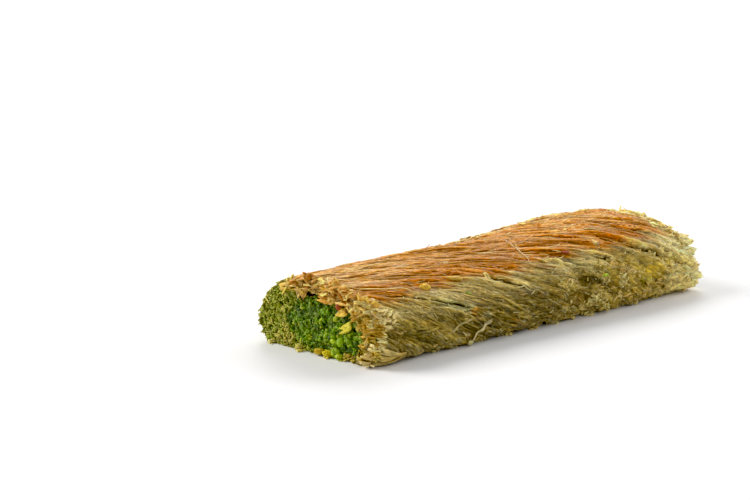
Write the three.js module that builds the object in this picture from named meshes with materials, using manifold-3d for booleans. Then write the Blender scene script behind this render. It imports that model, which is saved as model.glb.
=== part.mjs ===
// A cut length of kadayif roll: fine shredded dough wound in a shallow helix
// round a core of ground pistachio, pressed flat underneath in its tray,
// and sawn off square at both ends, so that the core shows there.
// Millimetres, +Z up. The roll lies along X, the origin is on the table under
// its middle, and strands wind from the crown down the -Y side towards +X.
import * as THREE from "three";
import { mergeVertices } from "three/addons/utils/BufferGeometryUtils.js";
import Module from "manifold-3d";

// Driving dimensions.
const LENGTH = 104;
const WIDTH = 38.5;
const HEIGHT = 18.2; // of the crown at full height
const STRAND_ANGLE = { near: 16, far: 33 }; // degrees to the roll's axis, at -X and at +X
const GAP = 0.35; // between the core and the wrap

// The crown's height along the roll, as [x, height].
const CROWN = [
  [-52, 17.1],
  [-25, 17.2],
  [0, 16.9],
  [18, 17.8],
  [30, 18.5],
  [44, 17.8],
  [53, 16.2],
];

// The outline of the roll's cross-section, a squared ellipse pressed flat.
const WAIST = 6.6; // height of the widest level above the table
const PRESSED = 0.5; // how much the tray flattened the underside
const OUTLINE = { underside: 4, backShoulder: 2.05, frontShoulder: 2.35 };

// The core's cross-section, and where its middle lies in the roll's.
const CORE = { width: 24, height: 11.4, y: -1.8, z: 6.6, squareness: 2.6 };

// Relief of the wrap.
const LOCKS = 32; // locks of strands round the roll
const POINTS_PER_LOCK = 3;
const STATIONS = 32;
const FURROW = 0.6; // depth of the furrow between two locks
const SWELL = 0.45; // how much a lock swells and sinks along its length
// How far the sawn locks stand out: evenly at the near end, and at the far end
// least at the crown and most low on the -Y side, where it tore off its tray.
const FRAYED = { near: 0.7, farCrown: 0.8, farFoot: 4.2 };
// Locks that have parted. Each opens at a place on the outline and follows the
// strands from there, for a length in mm.
const CRACKS = [
  { x: 29, turn: 0.625, length: 13, depth: 1.5 },
  { x: -41, turn: 0.647, length: 17, depth: 1.0 },
  { x: -13, turn: 0.658, length: 10, depth: 1.0 },
  { x: 20, turn: 0.66, length: 8, depth: 1.1 },
  { x: -30, turn: 0.36, length: 14, depth: 1.1 },
  { x: 6, turn: 0.31, length: 16, depth: 1.2 },
];
// Knots of shreds low on the sides, each a low mound.
const MOUNDS = [
  { x: 18, turn: 0.775, radius: 4.5, height: 0.9 },
  { x: 29, turn: 0.75, radius: 5, height: 0.8 },
  { x: 40, turn: 0.735, radius: 5.5, height: 1.1 },
  { x: 14, turn: 0.715, radius: 4, height: -1.2 },
  { x: -8, turn: 0.79, radius: 5, height: 0.6 },
  { x: -20, turn: 0.22, radius: 6, height: 0.8 },
  { x: 26, turn: 0.25, radius: 7, height: 0.9 },
];

// Sawn faces.
const FACE_RINGS = 3;
const FACE_RELIEF = 0.55;
const FLAKES_PER_FACE = 13;
const FLAKE = { shortest: 2.4, longest: 5.2, thickness: 0.8 };
const FRINGE_TIPS = 8;
const GRAINS_PER_FACE = 26;
const GRAIN = { smallest: 0.75, largest: 1.3 };

const OUTLINE_SAMPLES = 720;
const COLUMNS = LOCKS * POINTS_PER_LOCK;

const wasm = await Module();
wasm.setup();

// A seeded generator, so that the roll comes out the same each time.
function seeded(seed) {
  let state = seed >>> 0;
  return () => {
    state = (state + 0x6d2b79f5) >>> 0;
    let t = Math.imul(state ^ (state >>> 15), 1 | state);
    t = (t + Math.imul(t ^ (t >>> 7), 61 | t)) ^ t;
    return ((t ^ (t >>> 14)) >>> 0) / 4294967296;
  };
}

// A fixed random number from -1 to 1 for a whole number and a channel.
function hashed(n, channel) {
  const s = Math.sin(n * 127.1 + channel * 311.7) * 43758.5453;
  return 2 * (s - Math.floor(s)) - 1;
}

// Smooth noise from -1 to 1 along a line.
function wavy(x, channel) {
  const cell = Math.floor(x);
  const t = THREE.MathUtils.smoothstep(x - cell, 0, 1);
  return THREE.MathUtils.lerp(hashed(cell, channel), hashed(cell + 1, channel), t);
}

function signedPower(value, power) {
  return Math.sign(value) * Math.abs(value) ** power;
}

// One point of the roll's outline, for an angle from the +Y side.
function outlineAt(angle) {
  const c = Math.cos(angle);
  const s = Math.sin(angle);
  const shoulder = c > 0 ? OUTLINE.backShoulder : OUTLINE.frontShoulder;
  const squareness = s > 0 ? shoulder : OUTLINE.underside;
  const reach = s > 0 ? HEIGHT - WAIST + PRESSED : WAIST;
  const y = (WIDTH / 2) * signedPower(c, 2 / squareness);
  const z = WAIST + reach * signedPower(s, 2 / squareness) - PRESSED;
  return new THREE.Vector2(y, Math.max(0, z));
}

// The outline as a function of a share of a turn that moves along it at an
// even speed: from the middle of the underside up the +Y side, over the
// crown and down the -Y side.
function evenOutline() {
  const points = [];
  for (let i = 0; i <= OUTLINE_SAMPLES; i++)
    points.push(outlineAt(-Math.PI / 2 + (2 * Math.PI * i) / OUTLINE_SAMPLES));
  const along = [0];
  for (let i = 1; i <= OUTLINE_SAMPLES; i++)
    along.push(along[i - 1] + points[i].distanceTo(points[i - 1]));
  const perimeter = along[OUTLINE_SAMPLES];
  const at = (turn) => {
    const wanted = (turn - Math.floor(turn)) * perimeter;
    let low = 0;
    let high = OUTLINE_SAMPLES;
    while (high - low > 1) {
      const middle = (low + high) >> 1;
      if (along[middle] > wanted) high = middle;
      else low = middle;
    }
    const share = (wanted - along[low]) / Math.max(1e-9, along[high] - along[low]);
    return points[low].clone().lerp(points[high], share);
  };
  return { perimeter, at };
}

const outline = evenOutline();

// How far round the outline a strand has wound at x, as a share of a turn.
function wound(x) {
  const near = Math.tan(THREE.MathUtils.degToRad(STRAND_ANGLE.near));
  const far = Math.tan(THREE.MathUtils.degToRad(STRAND_ANGLE.far));
  const share = x / LENGTH + 0.5;
  return (LENGTH / outline.perimeter) * share * (near + ((far - near) * share) / 2);
}

// The crown's height at x.
function crownAt(x) {
  const next = CROWN.findIndex(([place]) => place > x);
  if (next === 0) return CROWN[0][1];
  if (next < 0) return CROWN[CROWN.length - 1][1];
  const [x0, height0] = CROWN[next - 1];
  const [x1, height1] = CROWN[next];
  return THREE.MathUtils.lerp(height0, height1, THREE.MathUtils.smoothstep(x, x0, x1));
}

// How wide and how high the roll is at x, as shares of its full size, and
// how far it wanders sideways.
function bodyAt(x) {
  const share = x / LENGTH + 0.5;
  return {
    width: 1 - 0.03 * THREE.MathUtils.smoothstep(share, 0.8, 1) + 0.012 * wavy(4 * share, 1),
    height: crownAt(x) / HEIGHT,
    wander: 0.4 * wavy(3 * share, 3),
  };
}

// The distance between two places on the outline, in shares of a turn.
function turnsApart(a, b) {
  const apart = Math.abs(a - b) % 1;
  return Math.min(apart, 1 - apart);
}

function mounds(turn, x) {
  let out = 0;
  for (const mound of MOUNDS) {
    const across = turnsApart(turn, mound.turn) * outline.perimeter;
    const share = Math.hypot(across, x - mound.x) / mound.radius;
    if (share < 1) out += mound.height * (1 - share * share) ** 2;
  }
  return out;
}

function cracks(turn, x) {
  let out = 0;
  for (const crack of CRACKS) {
    const share = (x - crack.x) / crack.length;
    const opened = crack.turn + wound(x) - wound(crack.x);
    if (share > 0 && share < 1 && turnsApart(turn, opened) * COLUMNS < 0.9)
      out -= crack.depth * Math.sin(Math.PI * share);
  }
  return out;
}

// How far the wrap's surface stands out of its plain outline.
function reliefAt(column, turn, x) {
  const lock = Math.floor(column / POINTS_PER_LOCK);
  const furrow = column % POINTS_PER_LOCK === 0;
  let out = SWELL * wavy(x / 13 + 9.7 * lock, 4 + lock) * (furrow ? 0.5 : 1);
  if (furrow) out -= FURROW * (1 + 0.6 * hashed(lock, 5));
  return out + mounds(turn, x) + cracks(turn, x);
}

// A point of the wrap's surface.
function wrapPoint(column, turn, x) {
  const step = 0.5 / COLUMNS;
  const here = outline.at(turn);
  const tangent = outline.at(turn + step).sub(outline.at(turn - step)).normalize();
  const normal = new THREE.Vector2(tangent.y, -tangent.x);
  const clearOfTray = THREE.MathUtils.smoothstep(here.y, 0.05, 2.2);
  const out = reliefAt(column, turn, x) * clearOfTray;
  const body = bodyAt(x);
  const y = here.x * body.width + normal.x * out + body.wander;
  const z = Math.max(0, here.y * body.height + normal.y * out);
  return new THREE.Vector3(x, y, z);
}

// How far a lock's sawn end stands out along X. end is -1 at the near end of
// the roll, 1 at its far end and 0 between them.
function frayAt(column, turn, end) {
  const lock = Math.floor(column / POINTS_PER_LOCK);
  const share = turn - Math.floor(turn);
  const foot =
    THREE.MathUtils.smoothstep(share, 0.62, 0.76) * THREE.MathUtils.smoothstep(0.9 - share, 0, 0.08);
  const much = end < 0 ? FRAYED.near : THREE.MathUtils.lerp(FRAYED.farCrown, FRAYED.farFoot, foot);
  const furrow = column % POINTS_PER_LOCK === 0 ? 0.45 : 1;
  return end * much * furrow * (0.6 + 0.4 * hashed(lock, end < 0 ? 6 : 7));
}

// A closed solid between closed rings of points, with a point to close each end.
function closedGrid(rings, first, last) {
  const count = rings[0].length;
  const positions = [...rings.flat(), first, last];
  const firstIndex = rings.length * count;
  const lastIndex = firstIndex + 1;
  const top = (rings.length - 1) * count;
  const index = [];
  for (let j = 0; j < count; j++) {
    const next = (j + 1) % count;
    index.push(firstIndex, next, j);
    index.push(lastIndex, top + j, top + next);
    for (let i = 0; i + 1 < rings.length; i++) {
      const a = i * count + j;
      const b = i * count + next;
      index.push(a, b, a + count);
      index.push(b, b + count, a + count);
    }
  }
  const geometry = new THREE.BufferGeometry().setFromPoints(positions);
  geometry.setIndex(index);
  return geometry;
}

// A closed three.js geometry as a manifold-3d solid.
function solidOf(geometry) {
  const bare = geometry.clone();
  bare.deleteAttribute("normal");
  bare.deleteAttribute("uv");
  const merged = mergeVertices(bare, 1e-4);
  return new wasm.Manifold(
    new wasm.Mesh({
      numProp: 3,
      vertProperties: new Float32Array(merged.attributes.position.array),
      triVerts: new Uint32Array(merged.index.array),
    }),
  );
}

// The solid without loose scraps, and with the hollows filled that fusing sealed.
function onePiece(solid) {
  const bodies = solid.decompose();
  return bodies.reduce((best, body) => (body.volume() > best.volume() ? body : best));
}

function geometryOf(solid) {
  const mesh = solid.getMesh();
  const geometry = new THREE.BufferGeometry();
  geometry.setAttribute("position", new THREE.BufferAttribute(mesh.vertProperties, 3));
  geometry.setIndex(new THREE.BufferAttribute(mesh.triVerts, 1));
  geometry.computeVertexNormals();
  return geometry;
}

// Rings that close a sawn face from its rim towards its middle, with a crumbly
// relief of its own for each end.
function faceRings(rim, middle, end, relief, channel) {
  const made = [];
  for (let k = 1; k <= FACE_RINGS; k++) {
    const ring = rim.map((point, j) => {
      const inward = point.clone().lerp(middle, k / (FACE_RINGS + 1));
      inward.x = middle.x + end * relief * hashed(j + 131 * k, channel);
      return inward;
    });
    made.push(ring);
  }
  return made;
}

// A rod between two sawn faces, from the rings along it.
function sawnRod(rings, relief, channel) {
  const near = new THREE.Vector3(-LENGTH / 2, CORE.y, CORE.z);
  const far = new THREE.Vector3(LENGTH / 2, CORE.y, CORE.z);
  const nearFace = faceRings(rings[0], near, -1, relief, channel);
  const farFace = faceRings(rings[rings.length - 1], far, 1, relief, channel + 1);
  return solidOf(closedGrid([...nearFace.reverse(), ...rings, ...farFace], near, far));
}

// The wrap before the core's channel is cut: rings whose points follow the
// strands, so that the furrows between the locks run in a helix.
function wrapBody() {
  const rings = [];
  for (let i = 0; i <= STATIONS; i++) {
    const x = (i / STATIONS - 0.5) * LENGTH;
    const end = i === 0 ? -1 : i === STATIONS ? 1 : 0;
    const ring = [];
    for (let column = 0; column < COLUMNS; column++) {
      const turn = column / COLUMNS + wound(x);
      const point = wrapPoint(column, turn, x);
      point.x += frayAt(column, turn, end);
      ring.push(point);
    }
    rings.push(ring);
  }
  return sawnRod(rings, FACE_RELIEF, 8);
}

// The core's outline, grown by a distance.
function coreOutline(angle, grown) {
  const c = Math.cos(angle);
  const s = Math.sin(angle);
  const uneven = 1 + 0.04 * Math.sin(2 * angle + 0.6) + 0.03 * Math.sin(5 * angle + 2);
  const power = 2 / CORE.squareness;
  const y = CORE.y + (CORE.width / 2) * uneven * signedPower(c, power);
  const z = CORE.z + (CORE.height / 2) * signedPower(s, power);
  const outward = new THREE.Vector2(y - CORE.y, z - CORE.z).normalize();
  return new THREE.Vector2(y + grown * outward.x, z + grown * outward.y);
}

// The straight channel that the core lies in, open at both ends.
function channel() {
  const length = LENGTH + 20;
  const sides = 48;
  const points = [];
  for (let j = 0; j < sides; j++) points.push(coreOutline((2 * Math.PI * j) / sides, 0));
  const bar = new THREE.ExtrudeGeometry(new THREE.Shape(points), {
    depth: length,
    bevelEnabled: false,
  });
  // The shape lies in Y and Z, and the bar runs along X.
  const toX = new THREE.Matrix4().set(0, 0, 1, -length / 2, 1, 0, 0, 0, 0, 1, 0, 0, 0, 0, 0, 1);
  return solidOf(bar.applyMatrix4(toX));
}

// A thin, torn flake of dough, flat in X and Y.
function flakeGeometry(random, length) {
  const shape = new THREE.Shape();
  const corners = 6;
  for (let i = 0; i < corners; i++) {
    const angle = (2 * Math.PI * i) / corners;
    const radius = (length / 2) * (0.75 + 0.35 * random());
    const x = radius * Math.cos(angle);
    const y = 0.5 * radius * Math.sin(angle);
    if (i === 0) shape.moveTo(x, y);
    else shape.lineTo(x, y);
  }
  const plate = new THREE.ExtrudeGeometry(shape, { depth: FLAKE.thickness, bevelEnabled: false });
  plate.translate(0, 0, -FLAKE.thickness / 2);
  return plate;
}

// Flakes that stand half out of the wrap's sawn face, over the core and beside it.
function flakesOn(end, random) {
  const made = [];
  for (let i = 0; i < FLAKES_PER_FACE; i++) {
    const turn = 0.3 + 0.52 * ((i + 0.5 * random()) / FLAKES_PER_FACE);
    const inward = 0.12 + 0.16 * random();
    const rim = outline.at(turn);
    const y = THREE.MathUtils.lerp(rim.x, CORE.y, inward);
    const z = THREE.MathUtils.lerp(rim.y, CORE.z, inward);
    const length = THREE.MathUtils.lerp(FLAKE.shortest, FLAKE.longest, random());
    const plate = flakeGeometry(random, length);
    plate.rotateX((random() - 0.5) * 1.6);
    plate.rotateY((random() - 0.5) * 1.2);
    plate.rotateX(Math.atan2(z - CORE.z, y - CORE.y) - Math.PI / 2);
    plate.rotateZ((random() - 0.5) * 1.5 + Math.PI / 2);
    plate.translate((end * LENGTH) / 2, y, z);
    made.push(solidOf(plate));
  }
  return made;
}

// Loose strand tips that the saw dragged across the foot of the near face,
// from its -Y corner towards the core.
function fringe(random) {
  const made = [];
  for (let i = 0; i < FRINGE_TIPS; i++) {
    const length = 5 + 2.5 * random();
    const tip = new THREE.CylinderGeometry(0.18, 0.5, length, 6);
    tip.rotateZ(0.22 * (random() - 0.5));
    tip.rotateX(-0.2 + 0.3 * (random() - 0.5));
    tip.translate(-0.9 * random(), length / 2 - 0.5, 0);
    tip.translate(-LENGTH / 2 - 0.3, -WIDTH / 2 + 1.2, 1.2 + 0.42 * i);
    made.push(solidOf(tip));
  }
  return made;
}

// Grains of ground pistachio that stand out of the core's sawn face, spread
// evenly over it in a sunflower spiral and clear of its rim.
function grainsOn(end, random) {
  const made = [];
  for (let i = 0; i < GRAINS_PER_FACE; i++) {
    const radius = THREE.MathUtils.lerp(GRAIN.smallest, GRAIN.largest, random());
    const reach = Math.sqrt((i + 0.5) / GRAINS_PER_FACE);
    const rim = coreOutline(i * Math.PI * (3 - Math.sqrt(5)), -GAP - 1.15 * radius);
    const y = THREE.MathUtils.lerp(CORE.y, rim.x, reach);
    const z = THREE.MathUtils.lerp(CORE.z, rim.y, reach);
    const grain = new THREE.IcosahedronGeometry(radius, 0);
    grain.scale(0.8, 1.1, 0.85 + 0.3 * random());
    grain.rotateX(6 * random());
    grain.rotateZ(6 * random());
    grain.translate(end * (LENGTH / 2 + 0.1), y, z);
    made.push(solidOf(grain));
  }
  return made;
}

// The core: a rod of pistachio with crumbly ends.
function coreSolid() {
  const random = seeded(7);
  const sides = 36;
  const rings = [-0.5, 0, 0.5].map((share) =>
    Array.from({ length: sides }, (_, j) => {
      const rim = coreOutline((2 * Math.PI * j) / sides, -GAP);
      return new THREE.Vector3(share * LENGTH, rim.x, rim.y);
    }),
  );
  const grains = [...grainsOn(-1, random), ...grainsOn(1, random)];
  return onePiece(wasm.Manifold.union([sawnRod(rings, 0.4, 11), ...grains]));
}

function wrapSolid() {
  const random = seeded(3);
  const loose = [...flakesOn(-1, random), ...flakesOn(1, random), ...fringe(random)];
  const joined = wasm.Manifold.union([wrapBody(), ...loose]);
  return onePiece(joined.subtract(channel()));
}

function meshOf(name, solid, material) {
  const mesh = new THREE.Mesh(geometryOf(solid), material);
  mesh.name = name;
  return mesh;
}

const dough = new THREE.MeshStandardMaterial({ color: 0xb98a45, roughness: 0.5, metalness: 0 });
const pistachio = new THREE.MeshStandardMaterial({ color: 0x4f7f1f, roughness: 0.7, metalness: 0 });

const roll = new THREE.Group();
roll.add(meshOf("kadayif_wrap", wrapSolid(), dough));
roll.add(meshOf("pistachio_core", coreSolid(), pistachio));

// The origin goes to the middle of the underside.
const size = new THREE.Box3().setFromObject(roll);
const middle = size.getCenter(new THREE.Vector3());
roll.position.set(-middle.x, -middle.y, -size.min.z);

export default roll;
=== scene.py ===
"""A cut length of kadayif roll: shredded dough wound round ground pistachio, browned on its crown, soaked
in syrup and sawn off at both ends. Every strand, crumb and nut grain is real mesh.

Sizes are in millimetres, in the roll's own frame: X along the roll from its middle, Z up from the table, and
"turn" goes once round the outline, from the middle of the underside (0) up the back (0.25), over the crown
(0.5) and down the front (0.75)."""

import math

import bmesh
import bpy
import numpy as np
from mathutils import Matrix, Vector


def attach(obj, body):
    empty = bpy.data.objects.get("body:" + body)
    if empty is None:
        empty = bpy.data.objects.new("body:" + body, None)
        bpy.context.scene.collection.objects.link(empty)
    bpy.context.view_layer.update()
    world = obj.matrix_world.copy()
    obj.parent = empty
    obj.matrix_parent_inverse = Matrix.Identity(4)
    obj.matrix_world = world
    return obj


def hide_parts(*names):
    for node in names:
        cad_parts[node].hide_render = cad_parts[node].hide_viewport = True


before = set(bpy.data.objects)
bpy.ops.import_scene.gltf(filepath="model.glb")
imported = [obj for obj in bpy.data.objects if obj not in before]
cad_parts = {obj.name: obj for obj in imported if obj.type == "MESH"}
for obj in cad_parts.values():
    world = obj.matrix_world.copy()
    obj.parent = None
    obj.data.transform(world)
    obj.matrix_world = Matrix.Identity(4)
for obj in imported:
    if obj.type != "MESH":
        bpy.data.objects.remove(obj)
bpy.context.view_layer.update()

MM = 0.001
# The roll's middle in the frame's X and Y. Its far end is frayed further out than its near one.
MIDDLE = np.array([-0.98, 0.006, 0.0])


def table(names, *rows):
    """Rows of values as dicts, under the names of their columns."""
    names = names.split()
    return [dict(zip(names, row)) for row in rows]


# --- The roll's form, as in the part ---
LENGTH = 104.0
WIDTH = 38.5
HEIGHT = 18.2
# The height at which it is widest, how much of the underside the tray pressed flat, and how square it is.
WAIST = 6.6
PRESSED = 0.5
UNDERSIDE_POWER = 4.0
BACK_SHOULDER_POWER = 2.05
FRONT_SHOULDER_POWER = 2.35
CROWN_PLACES = [-52, -25, 0, 18, 30, 44, 53]
CROWN_HEIGHTS = [17.1, 17.2, 16.9, 17.8, 18.5, 17.8, 16.2]
CORE_WIDTH = 24.0
CORE_HEIGHT = 11.4
CORE_MIDDLE = (-1.8, 6.6)
CORE_POWER = 2.6
# The gap between the core and the dough round it.
GAP = 0.35
# The angle in degrees at which the strands are wound at each end.
NEAR_WIND = 16
FAR_WIND = 33
NEAR = -LENGTH / 2
FAR = LENGTH / 2

# Locks of strands that have parted: where each opens, and how long and deep it is.
CRACKS = table(
    "x turn length depth",
    (27, 0.618, 16, 1.9),
    (-44, 0.646, 22, 0.6),
    (-14, 0.657, 12, 1.1),
    (20, 0.66, 8, 1.1),
    (-36, 0.60, 9, 0.5),
    (-20, 0.615, 10, 0.5),
    (4, 0.59, 11, 0.55),
    (12, 0.545, 12, 0.5),
    (33, 0.575, 10, 0.6),
    (-30, 0.36, 14, 1.1),
    (6, 0.31, 16, 1.2),
)
# Knots of shreds low on the sides, and one hollow.
MOUNDS = table(
    "x turn radius height",
    (18, 0.775, 4.5, 0.9),
    (29, 0.75, 5, 0.8),
    (40, 0.735, 5.5, 1.1),
    (14, 0.715, 4, -1.2),
    (-8, 0.79, 5, 0.6),
    (-20, 0.22, 6, 0.8),
    (26, 0.25, 7, 0.9),
)

STRAND_RADIUS = 0.2
PRESSED_RADIUS = 0.18
# A strand's height as a share of its width.
FLATNESS = 0.6
# How far above the table each thing keeps at least. A skin's base also keeps clear of its own outside.
LUMP_GAP = 0.02
FLAKE_GAP = 0.03
SKIN_GAP = 0.06
BED_GAP = 0.12
BASE_LIFT = 0.45
# The painted shade in the furrows between strands and the painted highlight on their crests, as a share of
# their own colour.
VALLEY_SHADE = 0.62
# The fine streaks that run along the dough: their width and length.
STREAK_WIDTH = 0.22
STREAK_LENGTH = 2.6


def linear(red, green, blue):
    """A colour given as 8-bit sRGB, as linear light."""
    value = np.array([red, green, blue]) / 255
    return np.where(value < 0.04045, value / 12.92, ((value + 0.055) / 1.055) ** 2.4)


PEACH = linear(250, 204, 136)
PALE_GOLD = linear(212, 166, 92)
GOLD = linear(190, 124, 30)
AMBER = linear(175, 108, 8)
# A grey for the painted glints on the sides.
SIDE_GLINT = linear(188, 182, 138)
RED_BROWN = linear(142, 66, 8)
# Dark brown for the painted shade of deep dough.
DARK_BROWN = linear(106, 62, 12)
OLIVE_LIGHT = linear(196, 171, 102)
OLIVE = linear(161, 139, 66)
OLIVE_DARK = linear(96, 80, 20)
YELLOW = linear(206, 176, 74)
STRAW = linear(222, 200, 104)
FLAKE_GOLD = linear(220, 172, 84)
FLAKE_PALE = linear(252, 218, 138)
LEAF_DARK = linear(60, 84, 6)
LEAF = linear(98, 134, 10)
LEAF_BRIGHT = linear(140, 174, 18)
LEAF_PALE = linear(160, 194, 36)
LIME = linear(190, 200, 50)
# The core rod's green, which shows only between the grains: darker, as painted shade there.
NUT_SHADE = linear(70, 98, 16)
PALE_LEAF = linear(132, 146, 56)
NUT_SKIN = linear(164, 80, 40)
PALE_STRAW = linear(255, 232, 158)
STAINED_DARK = linear(126, 136, 34)
STAINED_LIGHT = linear(168, 178, 78)
# Painted shade: the dark dough between the crumbs of the sawn faces, above the core, behind it and in front.
FACE_SHADE = linear(104, 44, 4)
STAINED_SHADE = linear(136, 142, 50)
STRAW_SHADE = linear(120, 94, 16)
# Painted shadow for the cracks between locks.
CRACK_SHADE = linear(46, 24, 5)


# --- Numbers ---
def lerp(a, b, share):
    """The value that lies a share of the way from a to b."""
    return a + (b - a) * share


def smoothstep(low, high, value):
    """Rises smoothly from 0 at low to 1 at high. With low above high it falls instead."""
    share = np.clip((value - low) / (high - low), 0, 1)
    return share * share * (3 - 2 * share)


def blend(a, b, share):
    """Colours a and b mixed by a share for each point."""
    return a + (b - a) * np.asarray(share)[..., None]


def layered(colour, *coats):
    """A colour with others laid over it in turn, each by a share for each point."""
    for coat, share in coats:
        colour = blend(colour, coat, share)
    return colour


def bell(value, width):
    """1 where a value is 0, falling off on both sides over a width."""
    return np.exp(-((value / width) ** 2))


def varied(rng, amount, *shape):
    """Random factors about 1, off it by up to an amount."""
    return 1 + amount * rng.uniform(-1, 1, shape)


def hashed(i, j, channel):
    """A fixed random number from -1 to 1 for each pair of whole numbers."""
    mixed = np.sin(i * 127.1 + j * 269.5 + channel * 311.7) * 43758.5453
    return 2 * (mixed - np.floor(mixed)) - 1


def noise(u, v, channel):
    """Smooth noise from -1 to 1 over a plane. Each channel is another pattern."""
    i, j = np.floor(u), np.floor(v)
    a, b = smoothstep(0, 1, u - i), smoothstep(0, 1, v - j)
    low = lerp(hashed(i, j, channel), hashed(i + 1, j, channel), a)
    high = lerp(hashed(i, j + 1, channel), hashed(i + 1, j + 1, channel), a)
    return lerp(low, high, b)


def wavy(x, channel):
    """Smooth noise along a line, the same as the part's own."""
    return noise(x, np.zeros_like(x), channel)


def unit(vectors):
    """The vectors at length 1."""
    return vectors / np.maximum(1e-9, np.linalg.norm(vectors, axis=-1, keepdims=True))


def squared(facing, along):
    """Unit vectors turned square to others."""
    facing = unit(facing)
    return unit(facing - along * np.sum(facing * along, -1, keepdims=True))


def keep_above(points, height):
    """Raises the points that are lower than a height over the table."""
    points[..., 2] = np.maximum(points[..., 2], height)


def stacked(*parts):
    """Arrays of points as one list."""
    return np.concatenate([np.reshape(part, (-1, 3)) for part in parts])


# --- The roll's surface ---
def make_outline(samples=1440):
    """The cross-section's points, its outward normals and its perimeter, at even steps of turn."""
    angle = np.linspace(-math.pi / 2, 1.5 * math.pi, samples + 1)
    c, s = np.cos(angle), np.sin(angle)
    shoulder = np.where(c > 0, BACK_SHOULDER_POWER, FRONT_SHOULDER_POWER)
    power = np.where(s > 0, shoulder, UNDERSIDE_POWER)
    reach = np.where(s > 0, HEIGHT - WAIST + PRESSED, WAIST)
    y = WIDTH / 2 * np.sign(c) * np.abs(c) ** (2 / power)
    z = np.maximum(0, WAIST + reach * np.sign(s) * np.abs(s) ** (2 / power) - PRESSED)
    along = np.concatenate([[0], np.cumsum(np.hypot(np.diff(y), np.diff(z)))])
    turns = np.linspace(0, 1, samples + 1)
    points = np.stack([np.interp(turns * along[-1], along, y), np.interp(turns * along[-1], along, z)], 1)
    ahead = np.roll(points[:-1], -8, 0) - np.roll(points[:-1], 8, 0)
    normals = unit(np.stack([ahead[:, 1], -ahead[:, 0]], 1))
    return turns, points, np.concatenate([normals, normals[:1]]), along[-1]


TURNS, OUTLINE, NORMALS, PERIMETER = make_outline()


def round_the(pairs, turn):
    """Pairs of values given at even turns, read at any turn."""
    return np.stack([np.interp(turn % 1, TURNS, pairs[:, k]) for k in range(2)], -1)


def wound(x):
    """How far round the strands have wound at x, as a share of a turn."""
    near, far = math.tan(math.radians(NEAR_WIND)), math.tan(math.radians(FAR_WIND))
    share = x / LENGTH + 0.5
    return LENGTH / PERIMETER * share * (near + (far - near) * share / 2)


def turns_apart(a, b):
    """The signed distance from b to a round the outline, in shares of a turn."""
    return (a - b + 0.5) % 1 - 0.5


def from_crown(turn):
    """How far round a place is from the middle of the crown, in shares of a turn."""
    return np.abs(turns_apart(turn, 0.5))


def across_strands(x, turn):
    """How far a place lies across the strands, in mm round the roll."""
    return (turn - wound(x)) * PERIMETER


def crown_height(x):
    """The roll's height at x."""
    place = np.clip(np.searchsorted(CROWN_PLACES, x, side="right"), 1, len(CROWN_PLACES) - 1)
    places, heights = np.array(CROWN_PLACES, float), np.array(CROWN_HEIGHTS)
    share = smoothstep(0, 1, (x - places[place - 1]) / (places[place] - places[place - 1]))
    return lerp(heights[place - 1], heights[place], share)


def mounds(x, turn):
    """How far the knots of shreds stand out at places."""
    out = np.zeros(np.broadcast(x, turn).shape)
    for mound in MOUNDS:
        across = turns_apart(turn, mound["turn"]) * PERIMETER
        share = np.minimum(1, np.hypot(across, x - mound["x"]) / mound["radius"])
        out += mound["height"] * (1 - share * share) ** 2
    return out


def crack_distances(x, turn):
    """For each crack, the distance across it in mm, how far it gapes there from 0 to 1, and its depth."""
    for crack in CRACKS:
        share = np.clip((x - crack["x"]) / crack["length"], 0, 1)
        opened = crack["turn"] + wound(x) - wound(crack["x"])
        yield turns_apart(turn, opened) * PERIMETER, np.sin(math.pi * share) ** 0.6, crack["depth"]


def roll_point(x, turn, out):
    """Points that stand out of the roll's plain surface by a distance, and the surface's normals there."""
    here, normal = round_the(OUTLINE, turn), round_the(NORMALS, turn)
    share = x / LENGTH + 0.5
    width = 1 - 0.03 * smoothstep(0.8, 1, share) + 0.012 * wavy(4 * share, 1)
    wander = 0.4 * wavy(3 * share, 3)
    y = here[..., 0] * width + normal[..., 0] * out + wander
    z = here[..., 1] * crown_height(x) / HEIGHT + normal[..., 1] * out
    normals = np.stack([np.zeros_like(y), normal[..., 0], normal[..., 1]], -1)
    return np.stack([x + 0 * y, y, z], -1), normals


def surface_frame(x, turn, degrees):
    """Unit vectors at places on the roll: along a line at an angle to the roll's axis, and outward."""
    angle = np.radians(degrees)
    here, normal = roll_point(x, turn, 0)
    ahead, _ = roll_point(x + 0.5 * np.cos(angle), turn + 0.5 * np.sin(angle) / PERIMETER, 0)
    return unit(ahead - here), normal


def locks_relief(x, turn):
    """The swell and furrows of the locks, which follow the strands. They are rougher on the sides."""
    phase = across_strands(x, turn)
    rough = smoothstep(0.12, 0.2, from_crown(turn))
    swell = 0.42 * noise(phase / 3.3, x / 15, 21) + 0.26 * noise(phase / 1.3, x / 9, 22)
    swell *= 1 - 0.35 * smoothstep(5, 30, x) * (1 - rough)
    clumps = 0.3 * rough * noise(phase / 1.1, x / 4, 23) + 0.12 * noise(phase / 0.6, x / 4, 24)
    knotted = smoothstep(3, 12, x) * smoothstep(0.68, 0.71, turn) * smoothstep(0.9, 0.87, turn)
    knots = 0.5 * knotted * noise(turn * PERIMETER / 1.5, x / 1.6, 25)
    return swell + clumps + knots + mounds(x, turn)


def on_locks(x, turn, out):
    """Points that stand out of the locks by a distance."""
    return roll_point(x, turn, out + locks_relief(x, turn))[0]


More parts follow.
